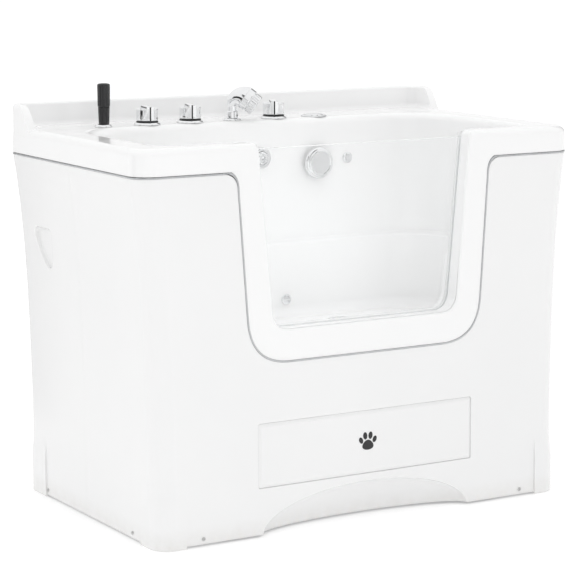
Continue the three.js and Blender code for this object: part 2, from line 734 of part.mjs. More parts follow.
// A skin over equal rings of points, closed flat at both ends.
function skinned(rings) {
  const sides = rings[0].length;
  const last = (rings.length - 1) * sides;
  const faces = [];
  for (let ring = 0; ring < rings.length - 1; ring += 1) {
    for (let side = 0; side < sides; side += 1) {
      const a = ring * sides + side;
      const b = ring * sides + ((side + 1) % sides);
      faces.push(a, b, b + sides, a, b + sides, a + sides);
    }
  }
  for (let side = 1; side < sides - 1; side += 1) {
    faces.push(0, side + 1, side);
    faces.push(last, last + side, last + side + 1);
  }
  const geometry = new THREE.BufferGeometry();
  geometry.setAttribute('position', new THREE.Float32BufferAttribute(rings.flat(2), 3));
  geometry.setIndex(faces);
  return toSolid(geometry);
}

function spoutHood() {
  const steps = 8;
  const rings = [];
  for (let step = 0; step <= steps; step += 1) rings.push(hoodRing((HOOD.end * step) / steps));
  return skinned(rings);
}

function spout() {
  const neckTop = HOOD.pivotZ + 1;
  const neck = turned([[10.4, -50], [10.4, 5.3], [14, 5.3], [14, 22], [10.4, 25], [10.4, neckTop]], 20);
  return join(neck, spoutHood()).rotate([0, 0, HOOD.turn]);
}

function spoutHead() {
  const { x, z } = hoodCentre(HOOD.end);
  const profile = [[28.5, 0.6], [29.5, 2], [29.5, 18], [26.5, 20], [25.5, 36], [24, 38], [20, 38], [20, 35],
    [2, 35]];
  const head = turned(profile, 24).rotate([0, HOOD.end, 0]).translate([x, 0, z]);
  return head.rotate([0, 0, HOOD.turn]);
}

const WAND_SOCKET = -40;

function wandHolder() {
  return turnedRing([[14, WAND_SOCKET - 8], [18, WAND_SOCKET - 8], [18, CLEARANCE], [21.5, CLEARANCE],
    [21.5, 2.5], [19, 6], [14, 6]], 18);
}

function wandHandle() {
  return turned([[8, WAND_SOCKET], [12.6, WAND_SOCKET + 6], [12.9, 6], [14.2, 55]], 16);
}

function wandHead() {
  return turned([[14.2, 55.3], [14.8, 58], [15.2, 100], [14, 104], [9, 105]], 16);
}

function airButtonRing() {
  return turnedRing([[24, -34], [25.5, -34], [25.5, CLEARANCE], [34, CLEARANCE], [34, 1.5], [31, 3],
    [24, 3]], 20);
}

function airButton() {
  return turned([[23.4, -12], [23.4, 4], [21, 6], [8, 6.8]], 20);
}

// ---------- base frame, feet and pump ----------

const RAIL_BOTTOM = 10;
const RAIL = 25;
const UPPER_RAIL = 30;
const SUPPORT_TOP = BASIN_FLOOR - WALL - CLEARANCE;
const SUPPORT_X = 430;
const SUPPORT_Y = [-190, 100];
const LONG_RAIL_Y = 245;
const PUMP_BARS_X = [-230, -90];
const FOOT_PLACES = [
  [-531, -276], [531, -276], [-531, 276], [531, 276],
];

function baseFrame() {
  const railTop = RAIL_BOTTOM + RAIL;
  const barTop = railTop + UPPER_RAIL;
  const bars = [];
  for (const side of [-1, 1]) {
    const inner = side * 515;
    const outer = side * 551;
    bars.push(box(Math.min(inner, outer), Math.max(inner, outer), -298, 298, RAIL_BOTTOM, railTop));
    const near = side * 385;
    const far = side * 516;
    bars.push(box(Math.min(near, far), Math.max(near, far), -339, -285, RAIL_BOTTOM, railTop));
    const y = side * LONG_RAIL_Y;
    bars.push(box(-551, 551, y - 15, y + 15, railTop, barTop));
    const x = side * SUPPORT_X;
    bars.push(box(x - 15, x + 15, -LONG_RAIL_Y, LONG_RAIL_Y, railTop, barTop));
    for (const postY of SUPPORT_Y) {
      bars.push(box(x - 15, x + 15, postY - 15, postY + 15, railTop, SUPPORT_TOP));
    }
  }
  for (const x of PUMP_BARS_X) {
    bars.push(box(x - 15, x + 15, -LONG_RAIL_Y, LONG_RAIL_Y, railTop, barTop));
  }
  for (const y of SUPPORT_Y) {
    bars.push(box(-455, 455, y - 15, y + 15, SUPPORT_TOP - UPPER_RAIL, SUPPORT_TOP));
  }
  const frame = join(...bars);
  const bores = FOOT_PLACES.map(([x, y]) => rod(6.6, [x, y, 0], 30, 'z', 12));
  const screwHoles = skirtScrewPlaces().map(screwBore);
  return cut(frame, ...bores, ...screwHoles);
}

function foot() {
  return turned([[22, 0], [22, 4], [18, 8], [6, 8], [6, 28]], 12);
}

const PUMP = { x: -60, y: 20, z: 160 };
const PUMP_TOP_PORT = 250;

function pumpMotor() {
  const motor = rod(66, [PUMP.x - 210, PUMP.y, PUMP.z], 180, 'x', 18);
  const cover = rod(52, [PUMP.x - 235, PUMP.y, PUMP.z], 26, 'x', 18);
  const terminalBox = box(PUMP.x - 160, PUMP.x - 70, PUMP.y - 30, PUMP.y + 30, PUMP.z + 50, PUMP.z + 90);
  const standTop = PUMP.z - 50;
  const standBottom = RAIL_BOTTOM + RAIL + UPPER_RAIL + CLEARANCE;
  const stand = box(PUMP.x - 180, PUMP.x - 40, PUMP.y - 55, PUMP.y + 55, standBottom, standTop);
  return join(motor, cover, terminalBox, stand);
}

function pumpHousing() {
  const volute = rod(80, [PUMP.x - 30 + CLEARANCE, PUMP.y, PUMP.z], 60, 'x', 18);
  const inlet = rod(26, [PUMP.x + 25, PUMP.y, PUMP.z], 35, 'x', 16);
  const outlet = rod(24, [PUMP.x, PUMP.y, PUMP.z + 60], PUMP_TOP_PORT - PUMP.z - 60, 'z', 16);
  return join(volute, inlet, outlet);
}

function suctionPipe() {
  return pipe([
    [PUMP.x + 60 + CLEARANCE, PUMP.y, PUMP.z],
    [STRAINER.x, PUMP.y, PUMP.z],
    [STRAINER.x, RISER_Y, PUMP.z],
    [STRAINER.x, RISER_Y, STRAINER.z - 30 - CLEARANCE],
  ], PIPE_RADIUS, 40);
}

function pressurePipe() {
  return pipe([
    [PUMP.x, PUMP.y, PUMP_TOP_PORT + CLEARANCE],
    [PUMP.x, PUMP.y, 320],
    [JET.x - 20, RISER_Y, 320],
    [JET.x, RISER_Y, 380],
    [JET.x, RISER_Y, JET.z - 40 - CLEARANCE],
  ], PIPE_RADIUS, 30);
}

// ---------- materials ----------

const LOOKS = {
  acrylic: { color: 0xf6f7f7, roughness: 0.16, metalness: 0 },
  skirt: { color: 0xf4f5f5, roughness: 0.2, metalness: 0 },
  chrome: { color: 0xd9dcde, roughness: 0.08, metalness: 1 },
  glass: { color: 0xe4eef0, roughness: 0.05, metalness: 0 },
  seal: { color: 0xc8cccd, roughness: 0.5, metalness: 0 },
  black: { color: 0x17181a, roughness: 0.32, metalness: 0 },
  steel: { color: 0x9aa0a4, roughness: 0.45, metalness: 1 },
  brass: { color: 0xb9a05c, roughness: 0.35, metalness: 1 },
  pipe: { color: 0xe9eaea, roughness: 0.45, metalness: 0 },
  pump: { color: 0x2f3337, roughness: 0.5, metalness: 0 },
  rubber: { color: 0x232323, roughness: 0.8, metalness: 0 },
};

// ---------- assembly ----------

const tub = new THREE.Group();

function addPiece(name, solid, look, place = [0, 0, 0], parent = tub) {
  const mesh = new THREE.Mesh(toGeometry(solid), new THREE.MeshStandardMaterial(LOOKS[look]));
  mesh.name = name;
  mesh.position.set(...place);
  parent.add(mesh);
}

addPiece('tub_shell', tubShell(), 'acrylic');
const skirts = skirtHalves();
addPiece('skirt_front', skirts.front, 'skirt');
addPiece('skirt_rear', skirts.rear, 'skirt');
addPiece('hand_cup_left', handCup(-1), 'skirt');
addPiece('hand_cup_right', handCup(1), 'skirt');
addPiece('name_panel', namePanel(), 'skirt');
addPiece('seam_trim', seamTrim(), 'chrome');
skirtScrewPlaces().forEach((place, index) => {
  addPiece(`skirt_screw_${index + 1}`, screw(place), 'steel');
});

addPiece('door_gasket', doorGasket(), 'seal');
addPiece('door_glass', doorGlass(), 'glass');

addPiece('overflow_body', overflowBody(), 'chrome');
addPiece('overflow_knob', overflowKnob(), 'chrome');
addPiece('jet_body', jetBody(), 'chrome');
addPiece('jet_nozzle', jetNozzle(), 'chrome');
addPiece('bubble_nozzle', bubbleNozzle(), 'chrome');
addPiece('suction_strainer', suctionStrainer(), 'chrome');

addPiece('drain_flange', drainFlange(), 'chrome');
addPiece('drain_plug', drainPlug(), 'chrome');
addPiece('overflow_pipe', overflowPipe(), 'pipe');
addPiece('drain_trap', drainTrap(), 'pipe');

const TAP_NAMES = ['hot', 'cold', 'diverter'];
TAP_NAMES.forEach((tap, index) => {
  const station = new THREE.Group();
  station.position.set(TAP_X[index], FITTING_ROW_Y, DECK_HEIGHT);
  tub.add(station);
  addPiece(`${tap}_flange`, tapFlange(), 'chrome', [0, 0, 0], station);
  addPiece(`${tap}_collar`, tapCollar(), 'black', [0, 0, 0], station);
  addPiece(`${tap}_knob`, tapKnob().rotate([0, 0, TAP_TURNS[index]]), 'chrome', [0, 0, 0], station);
  addPiece(`${tap}_valve`, tapValve(), 'brass', [0, 0, 0], station);
});
addPiece('supply_pipe', supplyPipe(), 'brass');

addPiece('spout_flange', onDeck(spoutFlange(), SPOUT_X), 'chrome');
addPiece('spout', onDeck(spout(), SPOUT_X), 'chrome');
addPiece('spout_head', onDeck(spoutHead(), SPOUT_X), 'chrome');
addPiece('wand_holder', onDeck(wandHolder(), WAND_X), 'chrome');
addPiece('wand_handle', onDeck(wandHandle(), WAND_X), 'black');
addPiece('wand_head', onDeck(wandHead(), WAND_X), 'black');
addPiece('air_button_ring', onDeck(airButtonRing(), BUTTON_X), 'chrome');
addPiece('air_button', onDeck(airButton(), BUTTON_X), 'chrome');

addPiece('base_frame', baseFrame(), 'steel');
FOOT_PLACES.forEach(([x, y], index) => {
  addPiece(`foot_${index + 1}`, foot(), 'rubber', [x, y, 0]);
});
addPiece('pump_motor', pumpMotor(), 'pump');
addPiece('pump_housing', pumpHousing(), 'pump');
addPiece('suction_pipe', suctionPipe(), 'pipe');
addPiece('pressure_pipe', pressurePipe(), 'pipe');

export default tub;
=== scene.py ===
"""Pet bathtub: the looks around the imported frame, in millimetres until a mesh is made."""

import math

import bmesh
import bpy
import numpy as np
from mathutils import Matrix, Vector


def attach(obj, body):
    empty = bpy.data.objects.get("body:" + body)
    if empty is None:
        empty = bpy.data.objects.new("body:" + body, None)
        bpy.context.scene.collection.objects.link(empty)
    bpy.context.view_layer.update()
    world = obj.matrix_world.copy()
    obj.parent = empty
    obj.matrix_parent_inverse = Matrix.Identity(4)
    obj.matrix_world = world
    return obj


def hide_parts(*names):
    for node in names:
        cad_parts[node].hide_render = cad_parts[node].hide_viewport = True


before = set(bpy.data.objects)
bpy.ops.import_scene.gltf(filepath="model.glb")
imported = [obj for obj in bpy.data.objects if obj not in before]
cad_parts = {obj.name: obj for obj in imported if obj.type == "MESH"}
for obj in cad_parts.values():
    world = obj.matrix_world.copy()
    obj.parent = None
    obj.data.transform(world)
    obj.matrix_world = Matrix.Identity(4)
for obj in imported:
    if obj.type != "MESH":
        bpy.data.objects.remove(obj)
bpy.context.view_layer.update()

# ---------- camera ----------

CAMERA_AZIMUTH = math.radians(-30.9)
CAMERA_ELEVATION = math.radians(9.34)
CAMERA_DISTANCE = 5.587
CAMERA_TARGET = Vector((-0.0031, 0.0099, 0.505))
CAMERA_LENS = 140.2
CAMERA_SENSOR = 36
CAMERA_REACH = (0.05, 100)


def link(name, data):
    piece = bpy.data.objects.new(name, data)
    bpy.context.scene.collection.objects.link(piece)
    return piece


def aimed(name, data, place, way):
    """A camera or lamp that stands at a place and looks along a way."""
    holder = link(name, data)
    holder.location = place
    holder.rotation_mode = "QUATERNION"
    holder.rotation_quaternion = way.to_track_quat("-Z", "Y")
    return holder


def add_camera():
    turn = Matrix.Rotation(CAMERA_AZIMUTH, 3, "Z") @ Matrix.Rotation(-CAMERA_ELEVATION, 3, "X")
    back = turn @ Vector((0, -1, 0))
    data = bpy.data.cameras.new("camera")
    data.lens = CAMERA_LENS
    data.sensor_width = CAMERA_SENSOR
    data.clip_start, data.clip_end = CAMERA_REACH
    place = CAMERA_TARGET + back * CAMERA_DISTANCE
    bpy.context.scene.camera = aimed("camera", data, place, -back)


add_camera()

# ---------- dimensions ----------

MM = 0.001
FAR = 700
BEVEL_ANGLE = 40
CLEARANCE = 0.3
WALL = 5
DECK_THICKNESS = 8
TRIM_PROUD = 1
SEAM_HEIGHT = 850
DECK_HEIGHT = 912
SPLASH_HEIGHT = 968
RIM_HALF = 599
RIM_FRONT = -335
RIM_BACK = 349
CORNER_RADIUS = 48
REAR_RADIUS = 28
MIDDLE_Y = (RIM_FRONT + RIM_BACK) / 2
ROLL_FOOT = DECK_HEIGHT - 18
APRON_Y = (RIM_FRONT - 30, RIM_FRONT + 40)
BAND_FOOT = 380

SKIRT_FLOOR_HALF = 559
SKIRT_LEAN = 8
SKIRT_FLARE = 32
SKIRT_FRONT_LEAN = 11
SKIRT_BACK_LEAN = 7
SKIRT_TOP = SEAM_HEIGHT - 3.5
SKIRT_JOINT_Y = 22
SKIRT_BOTTOM = 0.5
SKIRT_STEP = 6

BASIN_HALF = 508
BASIN_FRONT = -277
BASIN_BACK = 178
BASIN_BACK_RADIUS = 125
BASIN_FRONT_RADIUS = 60
BASIN_FLOOR = 410
LEDGE_HEIGHT = 600
LEDGE_WIDTH = 14
LEDGE_FOOT = 595
LEDGE_RISE = 13

DOOR = {"top_half": 290, "bottom_half": 252, "reference": DECK_HEIGHT, "sill": 481, "radius": 42}
APRON = {"top_half": 347, "bottom_half": 316, "reference": SEAM_HEIGHT, "sill": 406, "radius": 105}
APRON_SHOULDER = 40
TRIM_HALF_WIDTH = 2
DOOR_TOP = 896
GLASS_THICKNESS = 10
GLASS_FRONT = -297.5
GASKET_DEPTH = 12
GASKET_LIP = 4.8
CHANNEL_FRONT = GLASS_FRONT - GASKET_LIP - 2 * CLEARANCE
CHANNEL_BACK = GLASS_FRONT + GLASS_THICKNESS + GASKET_LIP + 2 * CLEARANCE
CHANNEL_WALL = 6

FITTING_ROW_Y = 217
FITTING_PITCH = 120
SPOUT_X = -48
TAP_X = {
    "hot": SPOUT_X - 2 * FITTING_PITCH,
    "cold": SPOUT_X - FITTING_PITCH,
    "diverter": SPOUT_X + FITTING_PITCH,
}
TAP_TURNS = {"hot": -10, "cold": -17, "diverter": -25}
WAND_X = SPOUT_X - 3 * FITTING_PITCH
BUTTON_X = SPOUT_X + 2 * FITTING_PITCH
HOOD_PIVOT = (12, 0, 34)
HOOD_END = 127
HOOD_NARROW = 22
HOOD_WIDE = 59
HOOD_GAP = 1
HOOD_TURN = -35
WAND_SOCKET = -40
WAND_JOINT = 48
WAND_SHIFT = 2
OVERFLOW = (170, 798)
JET = (10, 817)
BUBBLE_NOZZLE = (266, 805)
STRAINER = (75, 453)
DRAIN = (170, 50)
PIPE_RADIUS = 18
RISER_Y = 218
PUMP_AXIS = (20, 160)
WALL_TAIL = BASIN_BACK - RISER_Y - 22
FEET = [(x, y) for y in (-276, 276) for x in (-531, 531)]

PANEL_HALF = 298
PANEL_BOTTOM = 115
PANEL_TOP = 267
PANEL_BACK = -336
PANEL_DISH = 0.2
PAW_HEIGHT = 184
ARCH_HALF = 287
ARCH_DEPTH = 65
ARCH_HEIGHT = 97
POST_HALF = 490
POST_FRONT = -262
POST_BACK = 250
POST_HEIGHT = 150
POST_SWELL = 4
SCREW_HEIGHT = 18
SCREW_SIDE_Y = (-215, 243)
SCREW_FRONT_X = 445
HOLD_FRONT = 166
HOLD_DEPTH = 9

# ---------- mesh tools ----------


def mesh_piece(name, points, faces):
    """A closed mesh from points in millimetres, with its faces turned outward."""
    mesh = bpy.data.meshes.new(name)
    mesh.from_pydata((np.asarray(points, float) * MM).tolist(), [], faces)
    work = bmesh.new()
    work.from_mesh(mesh)
    bmesh.ops.remove_doubles(work, verts=work.verts, dist=1e-6)
    bmesh.ops.recalc_face_normals(work, faces=work.faces)
    if work.calc_volume(signed=True) < 0:
        bmesh.ops.reverse_faces(work, faces=work.faces)
    work.to_mesh(mesh)
    work.free()
    return link(name, mesh)


def lofted(name, rings, closed=False):
    """Joins rings of equal length; the ends are capped unless the rings close on themselves."""
    size = len(rings[0])
    points = np.concatenate([np.asarray(ring, float) for ring in rings])
    faces = []
    pairs = len(rings) if closed else len(rings) - 1
    for level in range(pairs):
        below, above = level * size, ((level + 1) % len(rings)) * size
        for index in range(size):
            after = (index + 1) % size
            faces.append((below + index, below + after, above + after, above + index))
    if not closed:
        faces.append(tuple(range(size - 1, -1, -1)))
        last = (len(rings) - 1) * size
        faces.append(tuple(range(last, last + size)))
    return mesh_piece(name, points, faces)


def take_mesh(piece):
    """The piece's mesh with its modifiers applied."""
    graph = bpy.context.evaluated_depsgraph_get()
    made = bpy.data.meshes.new_from_object(piece.evaluated_get(graph), depsgraph=graph)
    old = piece.data
    piece.modifiers.clear()
    piece.data = made
    bpy.data.meshes.remove(old)


def combine(body, operation, tools):
    """Joins, cuts or intersects body with each tool, which is used up."""
    for tool in tools:
        modifier = body.modifiers.new("combine", "BOOLEAN")
        modifier.operation = operation
        modifier.solver = "EXACT"
        modifier.object = tool
        take_mesh(body)
        discard(tool)
    return body


def join(body, *tools):
    return combine(body, "UNION", tools)


def cut(body, *tools):
    return combine(body, "DIFFERENCE", tools)


def keep(body, *tools):
    return combine(body, "INTERSECT", tools)


def discard(piece):
    mesh = piece.data
    bpy.data.objects.remove(piece)
    bpy.data.meshes.remove(mesh)


def merged(name, *pieces):
    """One object of several closed bodies that don't touch."""
    work = bmesh.new()
    for piece in pieces:
        work.from_mesh(piece.data)
        discard(piece)
    made = bpy.data.meshes.new(name)
    work.to_mesh(made)
    work.free()
    return link(name, made)


def moved(piece, offset=(0, 0, 0), turn=None):
    """Turns the mesh about the origin, then moves it by millimetres."""
    if turn is not None:
        piece.data.transform(turn.to_4x4())
    piece.data.transform(Matrix.Translation(Vector(offset) * MM))
    return piece


def turn_about(axis, degrees):
    return Matrix.Rotation(math.radians(degrees), 3, axis)


def smooth(piece, limit=35):
    """Smooth faces, with edges over the limit kept crisp."""
    work = bmesh.new()
    work.from_mesh(piece.data)
    bmesh.ops.dissolve_degenerate(work, dist=1e-6, edges=work.edges)
    for face in work.faces:
        face.smooth = True
    for edge in work.edges:
        two = len(edge.link_faces) == 2
        edge.smooth = two and edge.calc_face_angle(0) < math.radians(limit)
    work.to_mesh(piece.data)
    work.free()
    modifier = piece.modifiers.new("shading", "WEIGHTED_NORMAL")
    modifier.keep_sharp = True
    modifier.weight = 60
    return piece


def bevel(piece, width, segments):
    modifier = piece.modifiers.new("edges", "BEVEL")
    modifier.width = width * MM
    modifier.segments = segments
    modifier.limit_method = "ANGLE"
    modifier.angle_limit = math.radians(BEVEL_ANGLE)


def bevelled(piece, width, segments=2):
    bevel(piece, width, segments)
    take_mesh(piece)
    return piece


def box(x_min, x_max, y_min, y_max, z_min, z_max):
    corners = [(x_min, y_min), (x_max, y_min), (x_max, y_max), (x_min, y_max)]
    return lofted("box", [[(*corner, z) for corner in corners] for z in (z_min, z_max)])


def full_circle(count):
    return [2 * math.pi * step / count for step in range(count)]


def rolled(steps, first=1):
    """Pairs (1 - sine, 1 - cosine) through a right angle: how a rounded lip closes in and falls."""
    angles = [math.pi / 2 * step / steps for step in range(first, steps + 1)]
    return [(1 - math.sin(angle), 1 - math.cos(angle)) for angle in angles]


def eased(share):
    return share * share * (3 - 2 * share)


def quadratic(start, corner, end, steps):
    """A curve that leaves start towards corner and reaches end; start itself is left out."""
    start, corner, end = (np.array(point, float) for point in (start, corner, end))
    shares = [step / steps for step in range(1, steps + 1)]
    return [
        (1 - share) ** 2 * start + 2 * share * (1 - share) * corner + share**2 * end
        for share in shares
    ]


def rounded_corner(before, corner, after, reach, steps):
    """Points of a corner rounded over the same reach on both sides."""
    start, end = (
        corner + (other - corner) / np.linalg.norm(other - corner) * reach
        for other in (before, after)
    )
    return [start, *quadratic(start, corner, end, steps)]


def filleted(points, radius, steps=4):
    """An open line of 2-D points (across, up[, rounding]) with its inner corners rounded."""
    line = [np.array(point[:2], float) for point in points]
    made = [line[0]]
    for before, corner, after, point in zip(line, line[1:], line[2:], points[1:]):
        size = point[2] if len(point) > 2 else radius
        legs = [np.linalg.norm(other - corner) * 0.48 for other in (before, after)]
        reach = min(size, *legs)
        made += [corner] if reach < 0.02 else rounded_corner(before, corner, after, reach, steps)
    return [*made, line[-1]]


def turned(name, profile, segments=64, radius=0.6, steps=3, flutes=None):
    """A turned piece on Z. The profile lists (radius, height[, rounding]) from one end on the
    axis to the other. Flutes (count, depth, low, high) groove the wall between two heights."""
    points, rows, faces = [], [], []
    for wall, z in filleted(profile, radius, steps):
        count = 1 if wall < 1e-6 else segments
        rows.append(range(len(points), len(points) + count))
        for angle in full_circle(count):
            reach = wall
            if flutes and flutes[2] < z < flutes[3]:
                reach -= flutes[1] * (0.5 - 0.5 * math.cos(angle * flutes[0]))
            points.append((reach * math.cos(angle), reach * math.sin(angle), z))
    for low, high in zip(rows, rows[1:]):
        for index in range(segments if max(len(low), len(high)) > 1 else 0):
            after = (index + 1) % segments
            below = [low[place % len(low)] for place in (index, after)]
            above = [high[place % len(high)] for place in (after, index)]
            faces.append(tuple(dict.fromkeys(below + above)))
    return mesh_piece(name, points, faces)


def rod(name, radius, low, high, segments):
    return turned(name, [(0, low), (radius, low), (radius, high), (0, high)], segments, 0)


def ring_of(make, ring, count, start=0):
    """Copies of what make builds on the axis, spread evenly round Z at a radius."""
    return [
        moved(moved(make(), (ring, 0, 0)), turn=turn_about("Z", start + step * 360 / count))
        for step in range(count)
    ]


def turned_ring(name, profile, segments=64, radius=0.6, steps=3):
    """A turned ring on Z whose profile closes on itself."""
    middle = [(a + b) / 2 for a, b in zip(profile[0][:2], profile[-1][:2])]
    line = filleted([middle, *profile, middle], radius, steps)[:-1]
    return lofted(name, [
        [(wall * math.cos(angle), wall * math.sin(angle), z) for wall, z in line]
        for angle in full_circle(segments)
    ], closed=True)


def swept(name, centres, radius, sides=36):
    """A round bar along a line of points."""
    centres = [np.array(point, float) for point in centres]
    rings, side = [], None
    for before, centre, after in zip([centres[0], *centres], centres, [*centres[1:], centres[-1]]):
        along = (after - before) / np.linalg.norm(after - before)
        if side is None:
            side = np.cross(along, (0.3, 0.5, 0.81))
        side = side - along * (side @ along)
        side = side / np.linalg.norm(side)
        up = np.cross(along, side)
        rings.append([
            centre + radius * (math.cos(angle) * side + math.sin(angle) * up)
            for angle in full_circle(sides)
        ])
    return lofted(name, rings)


def bent_line(route, bend, steps=8):
    """Straight legs with rounded bends, as a list of points."""
    corners = [np.array(point, float) for point in route]
    made = [corners[0]]
    for before, corner, after in zip(corners, corners[1:], corners[2:]):
        made += rounded_corner(before, corner, after, bend, steps)
    return [*made, corners[-1]]


# ---------- outlines ----------


def rounded_rectangle(x_min, x_max, y_min, y_max, front_radius, back_radius, steps=14):
    corners = [
        (x_max - front_radius, y_min + front_radius, front_radius, -90),
        (x_max - back_radius, y_max - back_radius, back_radius, 0),
        (x_min + back_radius, y_max - back_radius, back_radius, 90),
        (x_min + front_radius, y_min + front_radius, front_radius, 180),
    ]
    outline = []
    for x, y, radius, start in corners:
        for step in range(steps + 1):
            angle = math.radians(start + 90 * step / steps)
            outline.append((x + radius * math.cos(angle), y + radius * math.sin(angle)))
    return np.array(outline)


def raised(outline, level, middle_y=MIDDLE_Y):
    """The outline at one level: (height, side, front, back) growth."""
    height, side, front, back = level
    x = outline[:, 0] + np.sign(np.round(outline[:, 0], 3)) * side * (np.abs(outline[:, 0]) > 1)
    y = np.where(outline[:, 1] < middle_y, outline[:, 1] - front, outline[:, 1] + back)
    return np.column_stack([x, y, np.full(len(outline), height)])


def stacked(name, outline, levels, middle_y=MIDDLE_Y):
    """Lofts the outline through levels of (height, side, front, back) or (height, even growth)."""
    levels = [(*level, level[1], level[1])[:4] if len(level) == 2 else level for level in levels]
    return lofted(name, [raised(outline, level, middle_y) for level in levels])


def quarter(start, rise, run, steps, convex=True):
    """Levels (height, growth) of a rolled edge: a quarter oval that rises and runs from start."""
    made = []
    for closing, out in rolled(steps):
        up = 1 - closing
        up, out = (up, out) if convex else (out, up)
        made.append((start[0] + rise * up, start[1] + run * out))
    return made


def half_width_at(form, height):
    share = (height - form["sill"]) / (form["reference"] - form["sill"])
    return form["bottom_half"] + (form["top_half"] - form["bottom_half"]) * share


def u_outline(form, growth, top, shoulder=0, side_steps=10, flare=None):
    """The U of the doorway or the apron in X and Z, from its upper left end to its upper right
    end. Flare (rise, run) rolls the upper ends outward."""
    foot = top - (flare[0] if flare else shoulder)
    upper = half_width_at(form, foot) + growth
    lower = form["bottom_half"] + growth
    floor = form["sill"] - growth
    reach = form["radius"] + growth
    low = np.array([half_width_at(form, floor + reach) + growth, floor + reach])
    high = np.array([upper, foot])
    right = [(0, floor), ((lower - reach) * 0.5, floor), (lower - reach, floor)]
    right += quadratic(right[-1], (lower, floor), low, 18)
    right += [low + (high - low) * step / side_steps for step in range(1, side_steps + 1)]
    if flare:
        right += [(x, z) for z, x in quarter((foot, upper), *flare, 8)]
    elif shoulder:
        right += quadratic(right[-1], (upper, top), (upper + shoulder, top), 12)
    right = [np.asarray(point, float) for point in right]
    return np.array([point * (-1, 1) for point in right[:0:-1]] + right)


def sections_along(name, sections, axis="Y"):
    """Joins outlines placed one behind the other along X or Y; each is (points, depth) with
    points (across, height) and depth a number or a function of height."""
    rings = []
    for outline, depth in sections:
        across, height = np.asarray(outline, float).T
        depth = depth(height) if callable(depth) else np.full(len(height), depth)
        columns = [across, depth, height] if axis == "Y" else [depth, across, height]
        rings.append(np.column_stack(columns))
    return lofted(name, rings)


# ---------- shared forms ----------


RIM = rounded_rectangle(-RIM_HALF, RIM_HALF, RIM_FRONT, RIM_BACK, CORNER_RADIUS, REAR_RADIUS)


def skirt_side_at(z):
    share = np.minimum(z, SEAM_HEIGHT) / SEAM_HEIGHT
    return SKIRT_FLOOR_HALF + SKIRT_LEAN * share + SKIRT_FLARE * share**4


def skirt_level(height, growth):
    left = 1 - min(height / SEAM_HEIGHT, 1)
    side = skirt_side_at(height) - RIM_HALF
    front, back = SKIRT_FRONT_LEAN * left, -SKIRT_BACK_LEAN * left
    return (height, side + growth, front + growth, back + growth)


def skirt_front_at(z):
    """Y of the skirt's and the apron's front face at a height."""
    return RIM_FRONT - SKIRT_FRONT_LEAN * (1 - np.minimum(z, SEAM_HEIGHT) / SEAM_HEIGHT)


def front_face(depth):
    return lambda z: skirt_front_at(z) + depth


def lipped(outline, face, growth, lip, steps, spread=0.5):
    """The mouth of a recess, from well outside to the inner end of its rounded lip."""
    mouth = [(outline(growth + lip * 2), face(-30)), (outline(growth + lip + spread), face(-0.2))]
    return mouth + [
        (outline(growth + lip * closing), face(lip * fall)) for closing, fall in rolled(steps)
    ]


def skirt_levels(growth, bottom, top):
    heights = np.linspace(bottom, top, max(2, round((top - bottom) / 24)) + 1)
    return [skirt_level(height, growth) for height in heights]


def skirt_form(name, growth, bottom, top):
    return stacked(name, RIM, skirt_levels(growth, bottom, top))


# ---------- tub shell ----------


def basin_levels(growth, top):
    floor = BASIN_FLOOR - growth
    levels = [(floor, -46)]
    levels += quarter(levels[0], 26, 32, 10, convex=False)
    for step in range(10):
        levels.append((LEDGE_FOOT + LEDGE_RISE * step / 9, -LEDGE_WIDTH * (1 - eased(step / 9))))
    levels += [(LEDGE_HEIGHT + 100, 0), (DECK_HEIGHT - 100, 0)]
    if growth > 0:
        levels += [(top - 18, 0), (top, 7)]
    else:
        levels.append((ROLL_FOOT, 0))
        levels += quarter(levels[-1], 18, 14, 10)
        levels.append((DECK_HEIGHT + 12, 14))
    return [(height, growth + spread) for height, spread in levels]


def basin_form(name, growth, top=DECK_HEIGHT):
    outline = rounded_rectangle(
        -BASIN_HALF, BASIN_HALF, BASIN_FRONT, BASIN_BACK, BASIN_FRONT_RADIUS, BASIN_BACK_RADIUS,
        steps=24,
    )
    return stacked(name, outline, basin_levels(growth, top), (BASIN_FRONT + BASIN_BACK) / 2)


def rim_form():
    levels = [(SEAM_HEIGHT, -2), (SEAM_HEIGHT + 1, -0.6), (SEAM_HEIGHT + 2.5, 0), (ROLL_FOOT, -1)]
    return stacked("rim", RIM, levels + quarter(levels[-1], 18, -19, 10))


def rim_hollow():
    top = (DECK_HEIGHT - DECK_THICKNESS, -20 - WALL)
    return stacked("rim_hollow", RIM, [(SEAM_HEIGHT - 10, -WALL), (ROLL_FOOT, -WALL - 1), top])


def upstand():
    """The raised back edge, which ramps up from the deck at both ends."""
    levels = [(DECK_HEIGHT - 40, -1.5), (SPLASH_HEIGHT - 9, -1.5)]
    outside = stacked("upstand", RIM, levels + quarter(levels[-1], 9, -7.5, 7))
    levels = [(DECK_HEIGHT - 30, -40), (DECK_HEIGHT - 0.5, -40)]
    levels += quarter(levels[-1], 14, 17, 8, convex=False)
    levels.append((SPLASH_HEIGHT - 6, -20))
    levels += quarter(levels[-1], 6, 6, 6)
    inside = stacked("upstand_hollow", RIM, [*levels, (SPLASH_HEIGHT + 5, -14)])
    base, crest, far = DECK_HEIGHT - 22, SPLASH_HEIGHT + 1, 720
    guides = np.array([(214, base), (248, base), (258, SPLASH_HEIGHT), (300, crest)])
    ramp = []
    for share in np.linspace(0, 1, 25):
        left = 1 - share
        weights = np.array([left**3, 3 * share * left**2, 3 * share**2 * left, share**3])
        ramp.append(weights @ guides)
    ramp += [(far, crest), (far, base)]
    wedge = lofted("ramp", [[(x, *point) for point in ramp] for x in (-FAR, FAR)])
    return keep(cut(outside, inside), wedge)


def plain_u(form, growth, y_min, y_max, top, shoulder=0):
    outline = u_outline(form, growth, top, shoulder)
    return sections_along("u", [(outline, y_min), (outline, y_max)])


